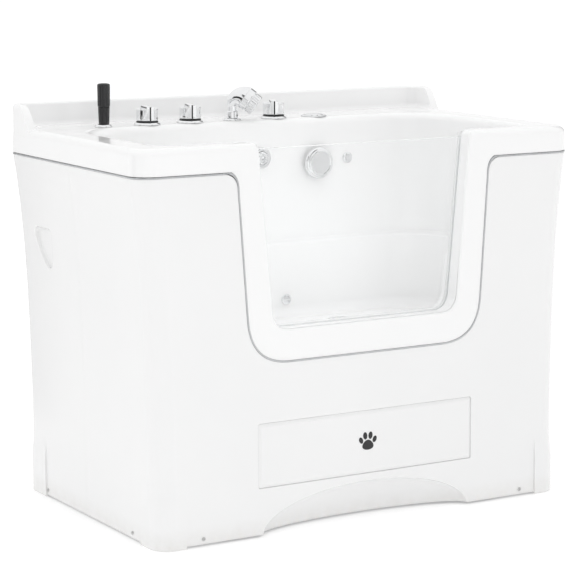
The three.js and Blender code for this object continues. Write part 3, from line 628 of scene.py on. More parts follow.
def basin_front_at(z):
    """Y of the basin's front wall at a height."""
    return BASIN_FRONT + LEDGE_WIDTH * (1 - eased(np.clip((z - LEDGE_FOOT) / LEDGE_RISE, 0, 1)))


def doorway():
    """The cut through the front wall, with a rolled edge outside, inside and on the deck."""
    roll, flare = 7, (13, 13)

    def inside(depth):
        return lambda z: basin_front_at(z) + depth

    sections = [(roll + 3, front_face(-30)), (roll + 1.2, front_face(-0.2))]
    sections += [(roll * closing, front_face(roll * fall)) for closing, fall in rolled(7)]
    sections += [(roll * opening, inside(-roll * rise)) for rise, opening in rolled(7, 0)[:-1]]
    sections += [(roll + 1.2, inside(0.2)), (roll + 3, inside(30))]
    made = []
    for growth, place in sections:
        outline = u_outline(DOOR, growth, DECK_HEIGHT + 0.05, flare=flare)
        lift = np.array([[-1, 0], [1, 0]]) * (outline[-1][0], 0) + (0, DECK_HEIGHT + 25)
        made.append((np.concatenate([lift[:1], outline, lift[1:]]), place))
    return sections_along("doorway", made)


def at_deck(piece, x):
    return moved(piece, (x, FITTING_ROW_Y, DECK_HEIGHT))


def on_back_wall(piece, place, wall_y=BASIN_BACK):
    return moved(piece, (place[0], wall_y, place[1]), turn_about("X", 90))


def over_drain(piece):
    return moved(piece, (*DRAIN, BASIN_FLOOR))


def tub_shell():
    """The moulding: rim band and deck, basin, apron, the doorway's lining and its seal channel."""
    body = cut(rim_form(), rim_hollow())
    bowl = basin_form("bowl", WALL, DECK_HEIGHT - 2.5)
    band = cut(
        skirt_form("band", -0.4, BAND_FOOT, SEAM_HEIGHT + 6),
        skirt_form("band_hollow", 0.7 - WALL, BAND_FOOT - 10, SEAM_HEIGHT + 8),
    )
    edge = -TRIM_HALF_WIDTH - CLEARANCE
    apron = keep(band, plain_u(APRON, edge, *APRON_Y, SEAM_HEIGHT + 6, APRON_SHOULDER + 6))
    lining = plain_u(DOOR, WALL, RIM_FRONT + 2, BASIN_FRONT + LEDGE_WIDTH + 3, DECK_HEIGHT - 2)
    y = (CHANNEL_FRONT - CHANNEL_WALL, CHANNEL_BACK + CHANNEL_WALL)
    case = plain_u(DOOR, GASKET_DEPTH + WALL + 1, *y, DECK_HEIGHT - 3)
    join(body, bowl, apron, lining, case, upstand())
    channel = plain_u(DOOR, GASKET_DEPTH + 1, CHANNEL_FRONT, CHANNEL_BACK, DECK_HEIGHT + 20)
    cut(body, basin_form("basin", 0), doorway(), channel)
    bores = [over_drain(rod("bore", 23, -40, 40, 48))]
    tap_bores = [(x, 11) for x in TAP_X.values()]
    for x, radius in (*tap_bores, (SPOUT_X, 12), (WAND_X, 19), (BUTTON_X, 26)):
        bores.append(at_deck(rod("bore", radius, -40, 40, 48), x))
    for spot, radius in ((OVERFLOW, 24), (JET, 19), (BUBBLE_NOZZLE, 8), (STRAINER, 10)):
        bores.append(on_back_wall(rod("bore", radius, -40, 60, 48), spot))
    cut(body, merged("bores", *bores))
    body.name = "shell"
    return smooth(body, 30)


# ---------- skirts ----------


def arch_scoop(name, growth, lip=4):
    """The shallow scoop in the foot of the front skirt, with a rolled upper edge."""

    def oval(grown, share=1.0):
        half, height = (ARCH_HALF + grown) * share, (ARCH_HEIGHT + grown) * share
        return [(half * math.cos(angle), height * math.sin(angle)) for angle in full_circle(96)]

    outlines = lipped(oval, front_face, growth, lip, 5)
    for closing, narrowing in rolled(16)[:-1]:
        depth = lip + (ARCH_DEPTH + growth - lip) * (1 - closing)
        outlines.append((oval(growth, 1 - narrowing), front_face(depth)))
    return sections_along(name, outlines)


def hand_hold_outline(growth):
    """Flat on top with a rounded point below; grown evenly on every side."""
    front, rear, top, point = HOLD_FRONT, HOLD_FRONT + 90, 676, 582
    outline = [np.array((front + 12, top))]
    outline += quadratic(outline[-1], (front, top), (front, top - 12), 8)
    outline += quadratic((front, point + 40), (front + 4, point), (front + 26, point), 12)
    outline += quadratic(outline[-1], (front + 62, point + 14), (rear, top - 16), 20)
    outline += quadratic(outline[-1], (rear + 1, top), (rear - 16, top), 8)
    outline = np.array(outline)
    ahead = np.roll(outline, -1, axis=0) - np.roll(outline, 1, axis=0)
    ahead /= np.linalg.norm(ahead, axis=1)[:, None]
    outward = np.column_stack([-ahead[:, 1], ahead[:, 0]])
    if np.dot(outward[0], (0, 1)) < 0:
        outward = -outward
    return outline + outward * growth


def hand_hold(name, side, growth):
    """A hand hold moulded into a side; its lip and its floor are rounded."""
    depth, foot = HOLD_DEPTH + growth, 6

    def face(inward):
        return lambda z: side * (skirt_side_at(z) - inward)

    outlines = lipped(hand_hold_outline, face, growth, 5, 5)
    for rise, closing in rolled(5, 0):
        outlines.append((hand_hold_outline(growth - foot * closing), face(depth - foot * rise)))
    return sections_along(name, outlines, "X")


def panel_outline(growth, radius=5):
    return rounded_rectangle(
        -PANEL_HALF - growth, PANEL_HALF + growth, PANEL_BOTTOM - growth, PANEL_TOP + growth,
        radius, radius, 6,
    )


def panel_pocket(name, growth, lip=2.5):
    outlines = lipped(panel_outline, front_face, growth, lip, 4, 0.4)
    return sections_along(name, [*outlines, (panel_outline(growth), PANEL_BACK + growth)])


def screw_places():
    """Where the foot's screws stand, as (x, y, turn)."""
    places = []
    for side in (-1, 1):
        places += [(side * SKIRT_FLOOR_HALF, y, side * 90) for y in SCREW_SIDE_Y]
        places.append((side * SCREW_FRONT_X, RIM_FRONT - SKIRT_FRONT_LEAN, 0))
    return places


def on_skirt(piece, place):
    x, y, turn = place
    return moved(piece, (x, y, SCREW_HEIGHT), turn_about("Z", turn) @ turn_about("X", 90))


def corner_posts():
    foot = SKIRT_BOTTOM
    levels = [skirt_level(foot, POST_SWELL - 1.5), skirt_level(foot + 2, POST_SWELL)]
    for step in range(11):
        height = POST_HEIGHT * (0.55 + 0.045 * step)
        levels.append(skirt_level(height, POST_SWELL * (0.5 + 0.5 * math.cos(math.pi * step / 10))))
    corners = [
        box(*x, *y, 0, POST_HEIGHT + 1)
        for x in ((-FAR, -POST_HALF), (POST_HALF, FAR))
        for y in ((-FAR, POST_FRONT), (POST_BACK, FAR))
    ]
    return keep(stacked("post", RIM, levels), merged("corners", *corners))


def whole_skirt():
    levels = skirt_levels(0, SKIRT_BOTTOM, SKIRT_TOP - 3)
    levels += [skirt_level(SKIRT_TOP - 1, -0.3), skirt_level(SKIRT_TOP, -1.2)]
    body = join(stacked("skirt", RIM, levels), corner_posts())

    def recesses(growth, *lip):
        holds = [hand_hold("hold", side, growth) for side in (-1, 1)]
        return [arch_scoop("arch", growth, *lip), *holds, panel_pocket("pocket", growth, *lip)]

    hollow = cut(skirt_form("hollow", -WALL, -20, SKIRT_TOP + 20), *recesses(WALL, 0.01))
    apron = plain_u(
        APRON, TRIM_HALF_WIDTH + CLEARANCE, *APRON_Y, SKIRT_TOP + 0.5,
        APRON_SHOULDER,
    )
    long_step = box(-POST_HALF, POST_HALF, -FAR, FAR, -10, SKIRT_STEP)
    side_step = box(-FAR, FAR, POST_FRONT, POST_BACK, -10, SKIRT_STEP)
    cut(body, hollow, *recesses(0), long_step, side_step, apron)
    bores = [on_skirt(rod("bore", 2.4, -20, 20, 24), place) for place in screw_places()]
    return cut(body, merged("bores", *bores))


def skirts():
    whole = whole_skirt()
    halves = []
    for name, y_min, y_max in (
        ("front_skirt", -FAR, SKIRT_JOINT_Y - CLEARANCE / 2),
        ("rear_skirt", SKIRT_JOINT_Y + CLEARANCE / 2, FAR),
    ):
        half = link(name, whole.data.copy())
        halves.append(smooth(keep(half, box(-FAR, FAR, y_min, y_max, -20, SKIRT_TOP + 23.5)), 30))
    discard(whole)
    return halves


def name_panel():
    """A plate with a wide sloped border, lying flush in its pocket."""
    gap, slope, fall = 0.5, 7.5, 2.6
    outlines = [(panel_outline(-gap), PANEL_BACK - CLEARANCE)]
    for inset, depth in ((0, fall + 0.9), (0.4, fall + 0.3), (1.2, fall)):
        outlines.append((panel_outline(-gap - inset), front_face(depth)))
    for step in range(1, 7):
        outline = panel_outline(-gap - 1.2 - slope * step / 6, 3.5)
        outlines.append((outline, front_face(fall * (1 - eased(step / 6)) + PANEL_DISH)))
    return smooth(sections_along("panel_plate", outlines), 30)


def seam_trim():
    """The thin bright strip under the rim band that follows the apron down and around; its chrome
    is made darker than the other chrome, as painted shade and painted dark reflection of the seam
    gap.
    """
    low, high = SKIRT_TOP + CLEARANCE, SEAM_HEIGHT - CLEARANCE
    route = join(
        box(-FAR, FAR, -FAR, FAR, low, high),
        plain_u(APRON, TRIM_HALF_WIDTH, *APRON_Y, high - 0.6, APRON_SHOULDER),
    )
    inner = plain_u(APRON, -TRIM_HALF_WIDTH, *APRON_Y, high + 5, APRON_SHOULDER + 5)
    hollow = skirt_form("inner", -4, BAND_FOOT - 10, high + 10)
    strip = cut(skirt_form("strip", TRIM_PROUD, BAND_FOOT, high + 0.2), hollow)
    strip = cut(keep(strip, route), inner)
    strip.name = "trim_strip"
    return smooth(bevelled(strip, 0.45, 2), 40)


# ---------- door ----------


def door_glass():
    """A clear pane with ground edges; its sides and foot stand in the channel."""
    grown, chamfer = GASKET_DEPTH - 2.6, 1.3
    back = GLASS_FRONT + GLASS_THICKNESS
    full = u_outline(DOOR, grown, DOOR_TOP, side_steps=4)
    small = u_outline(DOOR, grown - chamfer, DOOR_TOP - chamfer, side_steps=4)
    return smooth(sections_along("glass_pane", [
        (small, GLASS_FRONT), (full, GLASS_FRONT + chamfer), (full, back - chamfer), (small, back),
    ]), 20)


def door_gasket():
    """The U-shaped seal in its channel, with the glass's slot down its middle."""
    top, back = DECK_HEIGHT - 8, GLASS_FRONT + GLASS_THICKNESS
    y = (CHANNEL_FRONT + CLEARANCE, CHANNEL_BACK - CLEARANCE)
    outer = plain_u(DOOR, GASKET_DEPTH + 1 - 2 * CLEARANCE, *y, top)
    slot = plain_u(DOOR, GASKET_DEPTH - 2, GLASS_FRONT - CLEARANCE, back + CLEARANCE, top + 10)
    seal = cut(outer, slot, plain_u(DOOR, 1, -400, 0, top + 10))
    seal.name = "glass_seal"
    return smooth(bevelled(seal, 0.8, 3), 40)


# ---------- fittings ----------


def with_tail(fitting, place, below=40, above=0, wall_y=BASIN_BACK):
    """A wall fitting joined to the pipe end that drops behind the basin."""
    x, z = place
    tail = turned("tail", [
        (0, z - below), (PIPE_RADIUS, z - below), (PIPE_RADIUS, z + above), (0, z + above),
    ], 40, 0.8)
    return smooth(join(on_back_wall(fitting, place, wall_y), moved(tail, (x, RISER_Y, 0))))


def overflow_body():
    return with_tail(turned("overflow_plate", [
        (0, WALL_TAIL), (20, WALL_TAIL), (20, -WALL - 1), (23.5, -WALL - 1), (23.5, CLEARANCE),
        (30, CLEARANCE), (30, 5, 1.6), (12, 5), (0, 5),
    ]), OVERFLOW)


def overflow_knob():
    """A broad shallow knob with a stepped rim and a dished face."""
    knob = turned("overflow_cap", [
        (0, 5.5), (8, 5.5), (8, 12), (36, 12, 1), (40, 15, 2), (40, 22, 3), (37, 25.5, 2),
        (34, 26, 1), (33, 29, 1.5), (30, 30, 1.5), (27, 29, 3), (0, 28.2),
    ], 96, 1, 5)
    return smooth(on_back_wall(knob, OVERFLOW))


def jet_body():
    return with_tail(turned("jet_ring", [
        (0, WALL_TAIL), (16, WALL_TAIL), (16, -WALL - 1), (18.5, -WALL - 1), (18.5, CLEARANCE),
        (27, CLEARANCE), (27, 4, 1.5), (24, 7, 2), (17, 7, 1), (17, 2), (2, 2), (0, 2),
    ]), JET)


def jet_nozzle():
    face = turned("jet_eyeball", [
        (0, 2.4), (16.4, 2.4), (16.4, 8, 1), (13, 12, 1.5), (7, 12, 1), (6, 6, 1), (0, 5),
    ], 72, 0.8)
    for turn in (0, 120, 240):
        grip = bevelled(box(9, 15.2, -1.6, 1.6, 8, 13.4), 0.8, 3)
        join(face, moved(grip, turn=turn_about("Z", turn)))
    return smooth(on_back_wall(face, JET))


def pierced(body, patterns, radius, low, high, sides):
    """Drills holes through the body's face; patterns list (ring, count)."""
    holes = []
    for ring, count in patterns:
        holes += ring_of(lambda: rod("hole", radius, low, high, sides), ring, count)
    return cut(body, merged("holes", *holes))


def bubble_nozzle():
    body = turned("nozzle_cap", [
        (0, -30), (7.5, -30), (7.5, CLEARANCE), (14, CLEARANCE), (14, 3, 1.2), (11, 5.5, 1.5),
        (2, 6), (0, 6),
    ], 60)
    cut(pierced(body, [(7.6, 8)], 1.35, 2, 10, 16), rod("hole", 1.6, 2, 10, 16))
    return smooth(on_back_wall(body, BUBBLE_NOZZLE))


def suction_strainer():
    wall_y = BASIN_BACK - LEDGE_WIDTH
    inner = wall_y - RISER_Y - 4
    body = turned("strainer_cap", [
        (0, inner), (9.5, inner), (9.5, CLEARANCE), (14, CLEARANCE), (14, 3, 1.2), (12, 5, 1.2),
        (2, 6), (0, 6),
    ], 60)
    pierced(body, [(4.2, 6), (8.6, 12)], 1.15, 2, 10, 12)
    return with_tail(body, STRAINER, 30, 14, wall_y)


def drain_flange():
    return smooth(over_drain(turned_ring("drain_ring", [
        (19, -44), (22, -44), (22, CLEARANCE), (35, CLEARANCE), (35, 1.5, 0.6), (31, 3, 1.5),
        (23, 3, 1), (19, 0),
    ])))


def drain_plug():
    return smooth(over_drain(turned("drain_cap", [
        (0, -30), (3, -30), (3, -4), (15, -4), (18, 0.4), (22.4, 3.6), (22.4, 5, 0.7), (12, 7, 6),
        (0, 7.4),
    ], 72, steps=4)))


def deck_ring(name, x, profile, segments=80, radius=0.6):
    return smooth(at_deck(turned_ring(name, profile, segments, radius), x))


def tap_flange(name, x):
    return deck_ring(name, x, [
        (10.5, CLEARANCE), (33.5, CLEARANCE), (33.5, 1.6, 0.7), (32, 3.4, 1.4), (29, 6, 1.6),
        (10.5, 6),
    ])


def tap_collar(name, x):
    return deck_ring(name, x, [
        (10.5, 6 + CLEARANCE), (27.4, 6 + CLEARANCE), (27.8, 7.6, 0.8), (26.4, 9.2, 1), (25.6, 10),
        (10.5, 10),
    ], radius=0.3)


def tap_knob(name, x, turn):
    """A chrome cylinder with broad flutes, a grip bar across its top and an index line."""
    cap = turned(name, [
        (0, 10.3), (26.4, 10.3), (27.5, 11.5, 0.6), (27.5, 14, 0.4), (27, 14.6, 0.4), (27, 36, 0.4),
        (27.3, 36.6, 0.4), (27.3, 38.6, 1.2), (24.6, 40, 1), (22, 38.6, 1), (0, 38.2),
    ], 96, 0.5, 3, flutes=(8, 1.1, 15.2, 35.6))
    bar = bevelled(box(-8.5, 8.5, -28, 28, 34, 46), 1.6, 3)
    disc = turned("disc", [(0, 30), (27.4, 30), (27.4, 45, 1.6), (25.6, 46), (0, 46)], 96, 1.2, 4)
    join(cap, keep(bar, disc))
    socket = turned("socket", [(0, 5), (10.5, 5), (10.5, 20), (4.5, 20), (4.5, 31), (0, 31)], 40, 0)
    slot = box(-1.9, 1.9, -40, -26.1, 5, 44.6)
    recesses = merged("recess", *(box(*side, -24, 24, 40.6, 44.5) for side in ((-12, -8), (8, 12))))
    cut(cap, socket, slot, recesses)
    return smooth(at_deck(moved(cap, turn=turn_about("Z", turn)), x))


def tap_index(name, x, turn):
    """The black index line let into the front of the knob, with black bands let into its grip bar's
    sides that are painted shade and painted dark reflection.
    """
    line = box(-1.75, 1.75, -27.4, -26.3, 10.6, 44.4)
    # painted shade: the black bands on the grip bar's sides stand in for its shade and dark
    # reflections
    painted_shade_bands = [box(*side, -23.7, 23.7, 40.9, 44.2) for side in ((-8.6, -8.1), (8.1, 8.6))]
    inlay = bevelled(merged(name, line, *painted_shade_bands), 0.2, 2)
    return smooth(at_deck(moved(inlay, turn=turn_about("Z", turn)), x))


def tap_valve(name, x):
    top = -DECK_THICKNESS - CLEARANCE
    return smooth(at_deck(turned(name, [
        (0, -62), (15, -62), (15, top - 9), (14.8, top - 9), (14.8, top), (10, top), (10, 18),
        (4, 18), (4, 29), (0, 29),
    ], 48, 0.4), x))


def supply_pipe():
    """A manifold behind the valves, with a union at each of them."""
    left, right = TAP_X["hot"] - 20, TAP_X["diverter"] + 20
    profile = [(0, left), (8.6, left, 0.6)]
    for x in TAP_X.values():
        profile += [(9, x - 16, 0.5), (9, x - 14, 0.8), (9, x + 14, 0.8), (9, x + 16, 0.5)]
    profile += [(8.6, right, 0.6), (0, right)]
    pipe = turned("supply_manifold", profile, 40, 0.5)
    place = (0, FITTING_ROW_Y + 24 + CLEARANCE, DECK_HEIGHT - 45)
    return smooth(moved(pipe, place, turn_about("Y", 90)))


def spout_flange():
    return deck_ring("spout_rose", SPOUT_X, [
        (12.5, CLEARANCE), (23, CLEARANCE), (23, 1.6, 0.7), (20.6, 4.4, 2), (18.6, 5, 0.5),
        (12.5, 5),
    ], 72)


def hood_section(degrees):
    """The hood's round section after fanning round its pivot: outward way, radius and middle."""
    angle = math.radians(degrees)
    radius = (HOOD_NARROW + (HOOD_WIDE - HOOD_NARROW) * (degrees / HOOD_END) ** 1.3) / 2
    out = np.array((-math.cos(angle), 0, math.sin(angle)))
    return out, radius, np.array(HOOD_PIVOT) + (HOOD_GAP + radius) * out


def hood_ring(degrees, drop=0):
    out, radius, centre = hood_section(degrees)
    across = np.array((0, 1, 0))
    return [
        centre + radius * (math.cos(angle) * out + math.sin(angle) * across) - (0, 0, drop)
        for angle in full_circle(72)
    ]


def at_spout(piece):
    return smooth(at_deck(moved(piece, turn=turn_about("Z", HOOD_TURN)), SPOUT_X))


def spout():
    """A narrow neck in a fluted collar, fanning out into a bulbous hood."""
    collar = turned("spout_elbow", [
        (0, -50), (10.4, -50), (10.4, 5.3), (13.4, 5.3, 0.4), (14, 6.4, 0.6), (14, 21.4, 0.8),
        (12, 24, 1), (0, 24),
    ], 96, 0.4, flutes=(8, 0.9, 7.2, 20.8))
    neck = [hood_ring(0, drop) for drop in (14, 7)]
    fan = [hood_ring(HOOD_END * step / 40) for step in range(41)]
    return at_spout(join(collar, lofted("hood", neck + fan)))


def spout_head():
    """A polished ring with a knurled outlet and its pierced face."""
    head = turned("spout_outlet", [
        (0, 0.6), (28.8, 0.6, 0.4), (29.5, 1.6, 0.6), (29.5, 16.5, 1.2), (27.6, 18.4, 0.6),
        (25.4, 18.6, 0.3), (25.4, 20, 0.3), (26.6, 20.3, 0.3), (26.2, 35.8, 0.5), (24.6, 38, 1),
        (20.8, 38, 0.8), (20, 35.4, 0.8), (0, 35),
    ], 160, 0.5, flutes=(32, 1.5, 20.6, 35.4))
    pierced(head, [(6, 6), (12, 12), (17, 16)], 0.9, 33, 42, 8)
    return at_spout(moved(head, hood_section(HOOD_END)[2], turn_about("Y", HOOD_END)))


def wand_holder():
    return deck_ring("wand_socket", WAND_X, [
        (14, WAND_SOCKET - 8), (18, WAND_SOCKET - 8), (18, CLEARANCE), (21.5, CLEARANCE),
        (21.5, 1.6, 0.7), (20, 4, 1.6), (18, 6, 1), (14, 6, 0.8),
    ], 72)


def wand_bar(name, sections):
    """A rounded bar with eight grooves; sections list (height, radius, whether grooved)."""
    rings = []
    for height, radius, grooved in sections:
        ring = []
        for angle in full_circle(96):
            reach = radius - 1.3 * grooved * (0.5 + 0.5 * math.cos(angle * 8)) ** 6
            ring.append((reach * math.cos(angle), reach * math.sin(angle), height))
        rings.append(ring)
    return smooth(at_deck(lofted(name, rings), WAND_X + WAND_SHIFT))


def wand_handle():
    top = WAND_JOINT
    sections = [(WAND_SOCKET, 8, 0), (WAND_SOCKET + 6, 12.4, 0)]
    sections += [(7, 12.7, 0), (9, 12.9, 0), (11, 13, 1)]
    sections += [(14 + step * 5, 13.05 + 0.17 * step, 1) for step in range(7)]
    sections += [(top - 2.4, 14.3, 1), (top - 1.8, 14.4, 0), (top - 0.7, 14.2, 0), (top, 13.4, 0)]
    return wand_bar("wand_grip", sections)


def wand_head():
    foot = WAND_JOINT + CLEARANCE
    sections = [(foot, 13.6, 0), (foot + 0.7, 14.4, 0), (foot + 2, 14.8, 0), (foot + 3, 15, 1)]
    sections += [(foot + 6 + step * 7, 15.1 + 0.08 * step, 1) for step in range(7)]
    sections += [(100.5, 15.6, 1), (101.4, 15.4, 0), (103.4, 14.6, 0), (104.6, 13.2, 0)]
    return wand_bar("wand_sprayer", [*sections, (105, 11, 0), (103.8, 10, 0), (103.4, 4, 0)])


def air_button_ring():
    return deck_ring("button_rose", BUTTON_X, [
        (24, -34), (25.5, -34), (25.5, CLEARANCE), (34, CLEARANCE), (34, 1.2, 0.5), (31.5, 3, 1.4),
        (24, 3),
    ])


def air_button():
    disc = turned("button_disc", [
        (0, -12), (23.4, -12), (23.4, 4, 1.2), (21, 6, 1.6), (15, 6.2, 1), (13, 5.5, 2), (0, 5.2),
    ], 80, 0.8, 5)
    return smooth(at_deck(disc, BUTTON_X))


def skirt_screw(name, place):
    """A pan-head screw with a cross recess."""
    head = turned(name, [
        (0, -14), (2, -14), (2, 0.3), (4.5, 0.3), (4.5, 1.2, 0.5), (3.6, 2.4, 0.9), (0, 2.8),
    ], 40, 0.3, 4)
    cut(head, box(-2.2, 2.2, -0.45, 0.45, 1.5, 4), box(-0.45, 0.45, -2.2, 2.2, 1.5, 4))
    return smooth(on_skirt(head, place))


# ---------- plumbing, frame and pump ----------


def pipe_run(name, route, bend, coupling=None):
    """A bent pipe, with a glued coupling where one is given."""
    body = swept(name, bent_line(route, bend), PIPE_RADIUS)
    if coupling:
        neck, belly = PIPE_RADIUS + 1.2, PIPE_RADIUS + 3
        ring = turned("coupling", [
            (0, -17), (neck, -17), (belly, -15, 1), (belly, 15, 1), (neck, 17), (0, 17),
        ], 40)
        join(body, moved(ring, coupling))
    return smooth(body)


def drain_trap():
    x, y = DRAIN
    tee = moved(turned("trap_body", [
        (0, 280), (20, 280), (20, 308), (24, 311, 1.5), (24, 362, 1.5), (22, 365.7), (0, 365.7),
    ], 48, 0.8), (x, y, 0))
    out = x + 110
    line = [(x, y, 282), (x, y, 180), (out, y, 180)]
    line += [(out, y, 250), (out, 230, 250), (out, 230, 100)]
    side = swept("branch", bent_line([(x, y, 340), (x, y + 24, 340)], 5), PIPE_RADIUS + 2)
    return smooth(join(tee, swept("run", bent_line(line, 42), 20), side))


def overflow_pipe():
    x, z = OVERFLOW
    route = [(x, RISER_Y, z - 40.3), (x, RISER_Y, 340), (x, 74.3, 340)]
    return pipe_run("overflow_riser", route, 40, (x, RISER_Y, 560))


def suction_pipe():
    x, z = STRAINER
    route = [(0.3, *PUMP_AXIS), (x, *PUMP_AXIS), (x, RISER_Y, PUMP_AXIS[1]), (x, RISER_Y, z - 30.3)]
    return pipe_run("suction_line", route, 40)


def pressure_pipe():
    x, z = JET
    route = [(-60, 20, 250.3), (-60, 20, 320), (x - 20, RISER_Y, 320), (x, RISER_Y, 380)]
    return pipe_run("pressure_line", [*route, (x, RISER_Y, z - 40.3)], 30, (x, RISER_Y, 560))


def on_pump_axis(piece):
    return moved(piece, (0, *PUMP_AXIS), turn_about("Y", 90))


def pump_motor():
    """A finned motor with its end cover, terminal box and stand."""
    profile = [(0, -269.7), (58, -269.7), (62, -266, 2)]
    for foot in range(-252, -121, 13):
        profile += [(62, foot), (66, foot + 1, 0.5), (66, foot + 4, 0.5), (62, foot + 5)]
    motor = turned("motor_case", [*profile, (62, -100), (66, -96, 1), (66, -90), (0, -90)], 72)
    cover = turned("cover", [
        (0, -295), (40, -295), (50, -291, 4), (52, -286, 2), (52, -268), (0, -268),
    ], 72, 1.5, 4)
    slots = []
    for ring, count in ((18, 8), (32, 14)):
        slots += ring_of(lambda: bevelled(box(-4, 5, -1.6, 1.6, -298, -288), 1), ring, count)
    on_pump_axis(join(motor, cut(cover, merged("slots", *slots))))
    terminal = bevelled(box(-220, -130, -10, 50, 205, 250), 5, 4)
    return smooth(join(motor, terminal, bevelled(box(-240, -100, -35, 75, 65.4, 112), 4, 3)))


def pump_housing():
    volute = on_pump_axis(turned("volute", [
        (0, -89.7), (72, -89.7), (80, -84, 4), (80, -62, 6), (78, -36, 6), (70, -29.7, 4),
        (34, -29.7, 3), (30, -18, 3), (26, -12), (26, 0, 1), (0, 0),
    ], 72, 1, 4))
    outlet = moved(turned("outlet", [
        (0, 190), (24, 190), (24, 236), (26.4, 238, 1), (26.4, 248, 1), (24, 250), (0, 250),
    ], 48), (-60, 20, 0))
    bolts = ring_of(lambda: rod("bolt", 2.6, -93, -88, 6), 68.3, 6, 34)
    return smooth(join(volute, outlet, *(on_pump_axis(bolt) for bolt in bolts)))


def foot(name, x, y):
    pad = turned(name, [
        (0, 0), (21, 0, 1), (22, 1.4, 1), (22, 4, 1), (18, 8, 2), (6, 8, 0.5), (6, 28), (0, 28),
    ], 48, 0.6)
    return smooth(moved(pad, (x, y, 0)))


# ---------- generic badge ----------


def paw_badge():
    """A small raised paw print in the middle of the panel."""

    def pad(x, up, size, tilt, pinch=0):
        sine, cosine = math.sin(math.radians(tilt)), math.cos(math.radians(tilt))

        def outline(share):
            points = []
            for angle in full_circle(40):
                across = size[0] * math.cos(angle) * (1 - pinch * math.sin(angle))
                rise = size[1] * math.sin(angle)
                points.append((
                    x + share * (across * cosine - rise * sine),
                    PAW_HEIGHT + up + share * (across * sine + rise * cosine),
                ))
            return points

        return sections_along("pad", [
            (outline(share), front_face(PANEL_DISH - proud))
            for share, proud in ((1, -0.3), (1, 0.6), (0.94, 0.9))
        ])

    pads = [pad(0, 0, (15, 12), 0, 0.28)]
    for side in (-1, 1):
        pads.append(pad(side * 19, 12, (5.2, 8), -side * 24))
        pads.append(pad(side * 7.4, 22, (5.6, 8.8), -side * 7))
    return smooth(merged("paw_badge", *pads))


# ---------- assembly ----------

PLACED = []


def place(piece, body, slot, *nodes):
    """Rides the piece on its body, stands it for the CAD nodes and gives it its slot."""
    PLACED.append((piece, slot))
    if nodes:
        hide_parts(*nodes)
    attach(piece, body)


place(tub_shell(), "tub", "acrylic", "tub_shell")
front_skirt, rear_skirt = skirts()
place(front_skirt, "tub", "skirt", "skirt_front")
place(rear_skirt, "tub", "skirt", "skirt_rear", "hand_cup_left", "hand_cup_right")
for index, screw_place in enumerate(screw_places(), 1):
    place(skirt_screw(f"pan_screw_{index}", screw_place), "tub", "screw", f"skirt_screw_{index}")
for index, (x, y) in enumerate(FEET, 1):
    place(foot(f"rubber_foot_{index}", x, y), "tub", "foot_rubber", f"foot_{index}")
for tap, x in TAP_X.items():
    place(tap_flange(f"{tap}_rose", x), "tub", "chrome", f"{tap}_flange")
    place(tap_collar(f"{tap}_ring", x), "tub", "black", f"{tap}_collar")
    place(tap_knob(f"{tap}_handle", x, TAP_TURNS[tap]), f"{tap}_tap", "chrome", f"{tap}_knob")
    # the index line, and the black bands on the grip bar that are painted shade
    place(tap_index(f"{tap}_index", x, TAP_TURNS[tap]), f"{tap}_tap", "black")
    place(tap_valve(f"{tap}_cartridge", x), "tub", "brass", f"{tap}_valve")
for body, slot, makers in (
    ("tub", "skirt", [name_panel]),
    ("tub", "trim", [seam_trim]),
    ("tub", "seal", [door_gasket]),
    ("door", "glass", [door_glass]),
    ("tub", "chrome", [overflow_body, jet_body, bubble_nozzle, suction_strainer, drain_flange]),
    ("tub", "chrome", [spout_flange, wand_holder]),
    ("overflow_knob", "chrome", [overflow_knob]),
    ("jet_nozzle", "chrome", [jet_nozzle]),
    ("drain_plug", "chrome", [drain_plug]),
    ("spout", "chrome", [spout, spout_head]),
    ("wand", "black", [wand_handle, wand_head]),
    ("tub", "button", [air_button_ring]),
    ("air_button", "button", [air_button]),
    ("tub", "brass", [supply_pipe]),
    ("tub", "pipe", [overflow_pipe, drain_trap, suction_pipe, pressure_pipe]),
    ("tub", "pump", [pump_motor, pump_housing]),
):
    for make in makers:
        place(make(), body, slot, make.__name__)
place(paw_badge(), "tub", "black")

# ---------- materials ----------


class Graph:
    """The shader nodes of a material or of the world, laid out in the part's own space."""

    def __init__(self, owner, shader, place):
        owner.use_nodes = True
        self.nodes, self.links = owner.node_tree.nodes, owner.node_tree.links
        self.shader = self.nodes[shader]
        self.place = self.node("TexCoord", place)

    def feed(self, socket, value):
        """Gives a socket a number, a colour or another node's output."""
        if isinstance(value, bpy.types.NodeSocket):
            self.links.new(value, socket)
        else:
            socket.default_value = value

    def set(self, **values):
        for name, value in values.items():
            self.feed(self.shader.inputs[name.replace("_", " ")], value)
        return self

    def node(self, kind, output, **inputs):
        node = self.nodes.new("ShaderNode" + kind)
        for name, value in inputs.items():
            self.feed(node.inputs[name.replace("_", " ")], value)
        return node.outputs[output]

    def noise(self, scale, detail=4, rough=0.55, place=None):
        inputs = {"Scale": scale, "Detail": detail, "Roughness": rough}
        return self.node("TexNoise", "Fac", Vector=place or self.place, **inputs)

    def stretched(self, *scale):
        return self.node("Mapping", "Vector", Vector=self.place, Scale=scale)

    def ranged(self, value, low, high, start=0.3, end=0.7, kind="LINEAR"):
        ends = {"From_Min": start, "From_Max": end, "To_Min": low, "To_Max": high}
        result = self.node("MapRange", "Result", Value=value, **ends)
        result.node.interpolation_type = kind
        return result

    def maths(self, operation, first, second=0.0):
        node = self.nodes.new("ShaderNodeMath")
        node.operation = operation
        self.feed(node.inputs[0], first)
        self.feed(node.inputs[1], second)
        return node.outputs[0]

    def along(self, axis):
        return self.node("SeparateXYZ", axis, Vector=self.place)

    def mixed(self, share, first, second):
        """Shows a mix of two shaders."""
        node = self.nodes.new("ShaderNodeMixShader")
        for socket, value in zip(node.inputs, (share, first, second)):
            self.links.new(value, socket)
        self.links.new(node.outputs[0], self.nodes["Material Output"].inputs["Surface"])


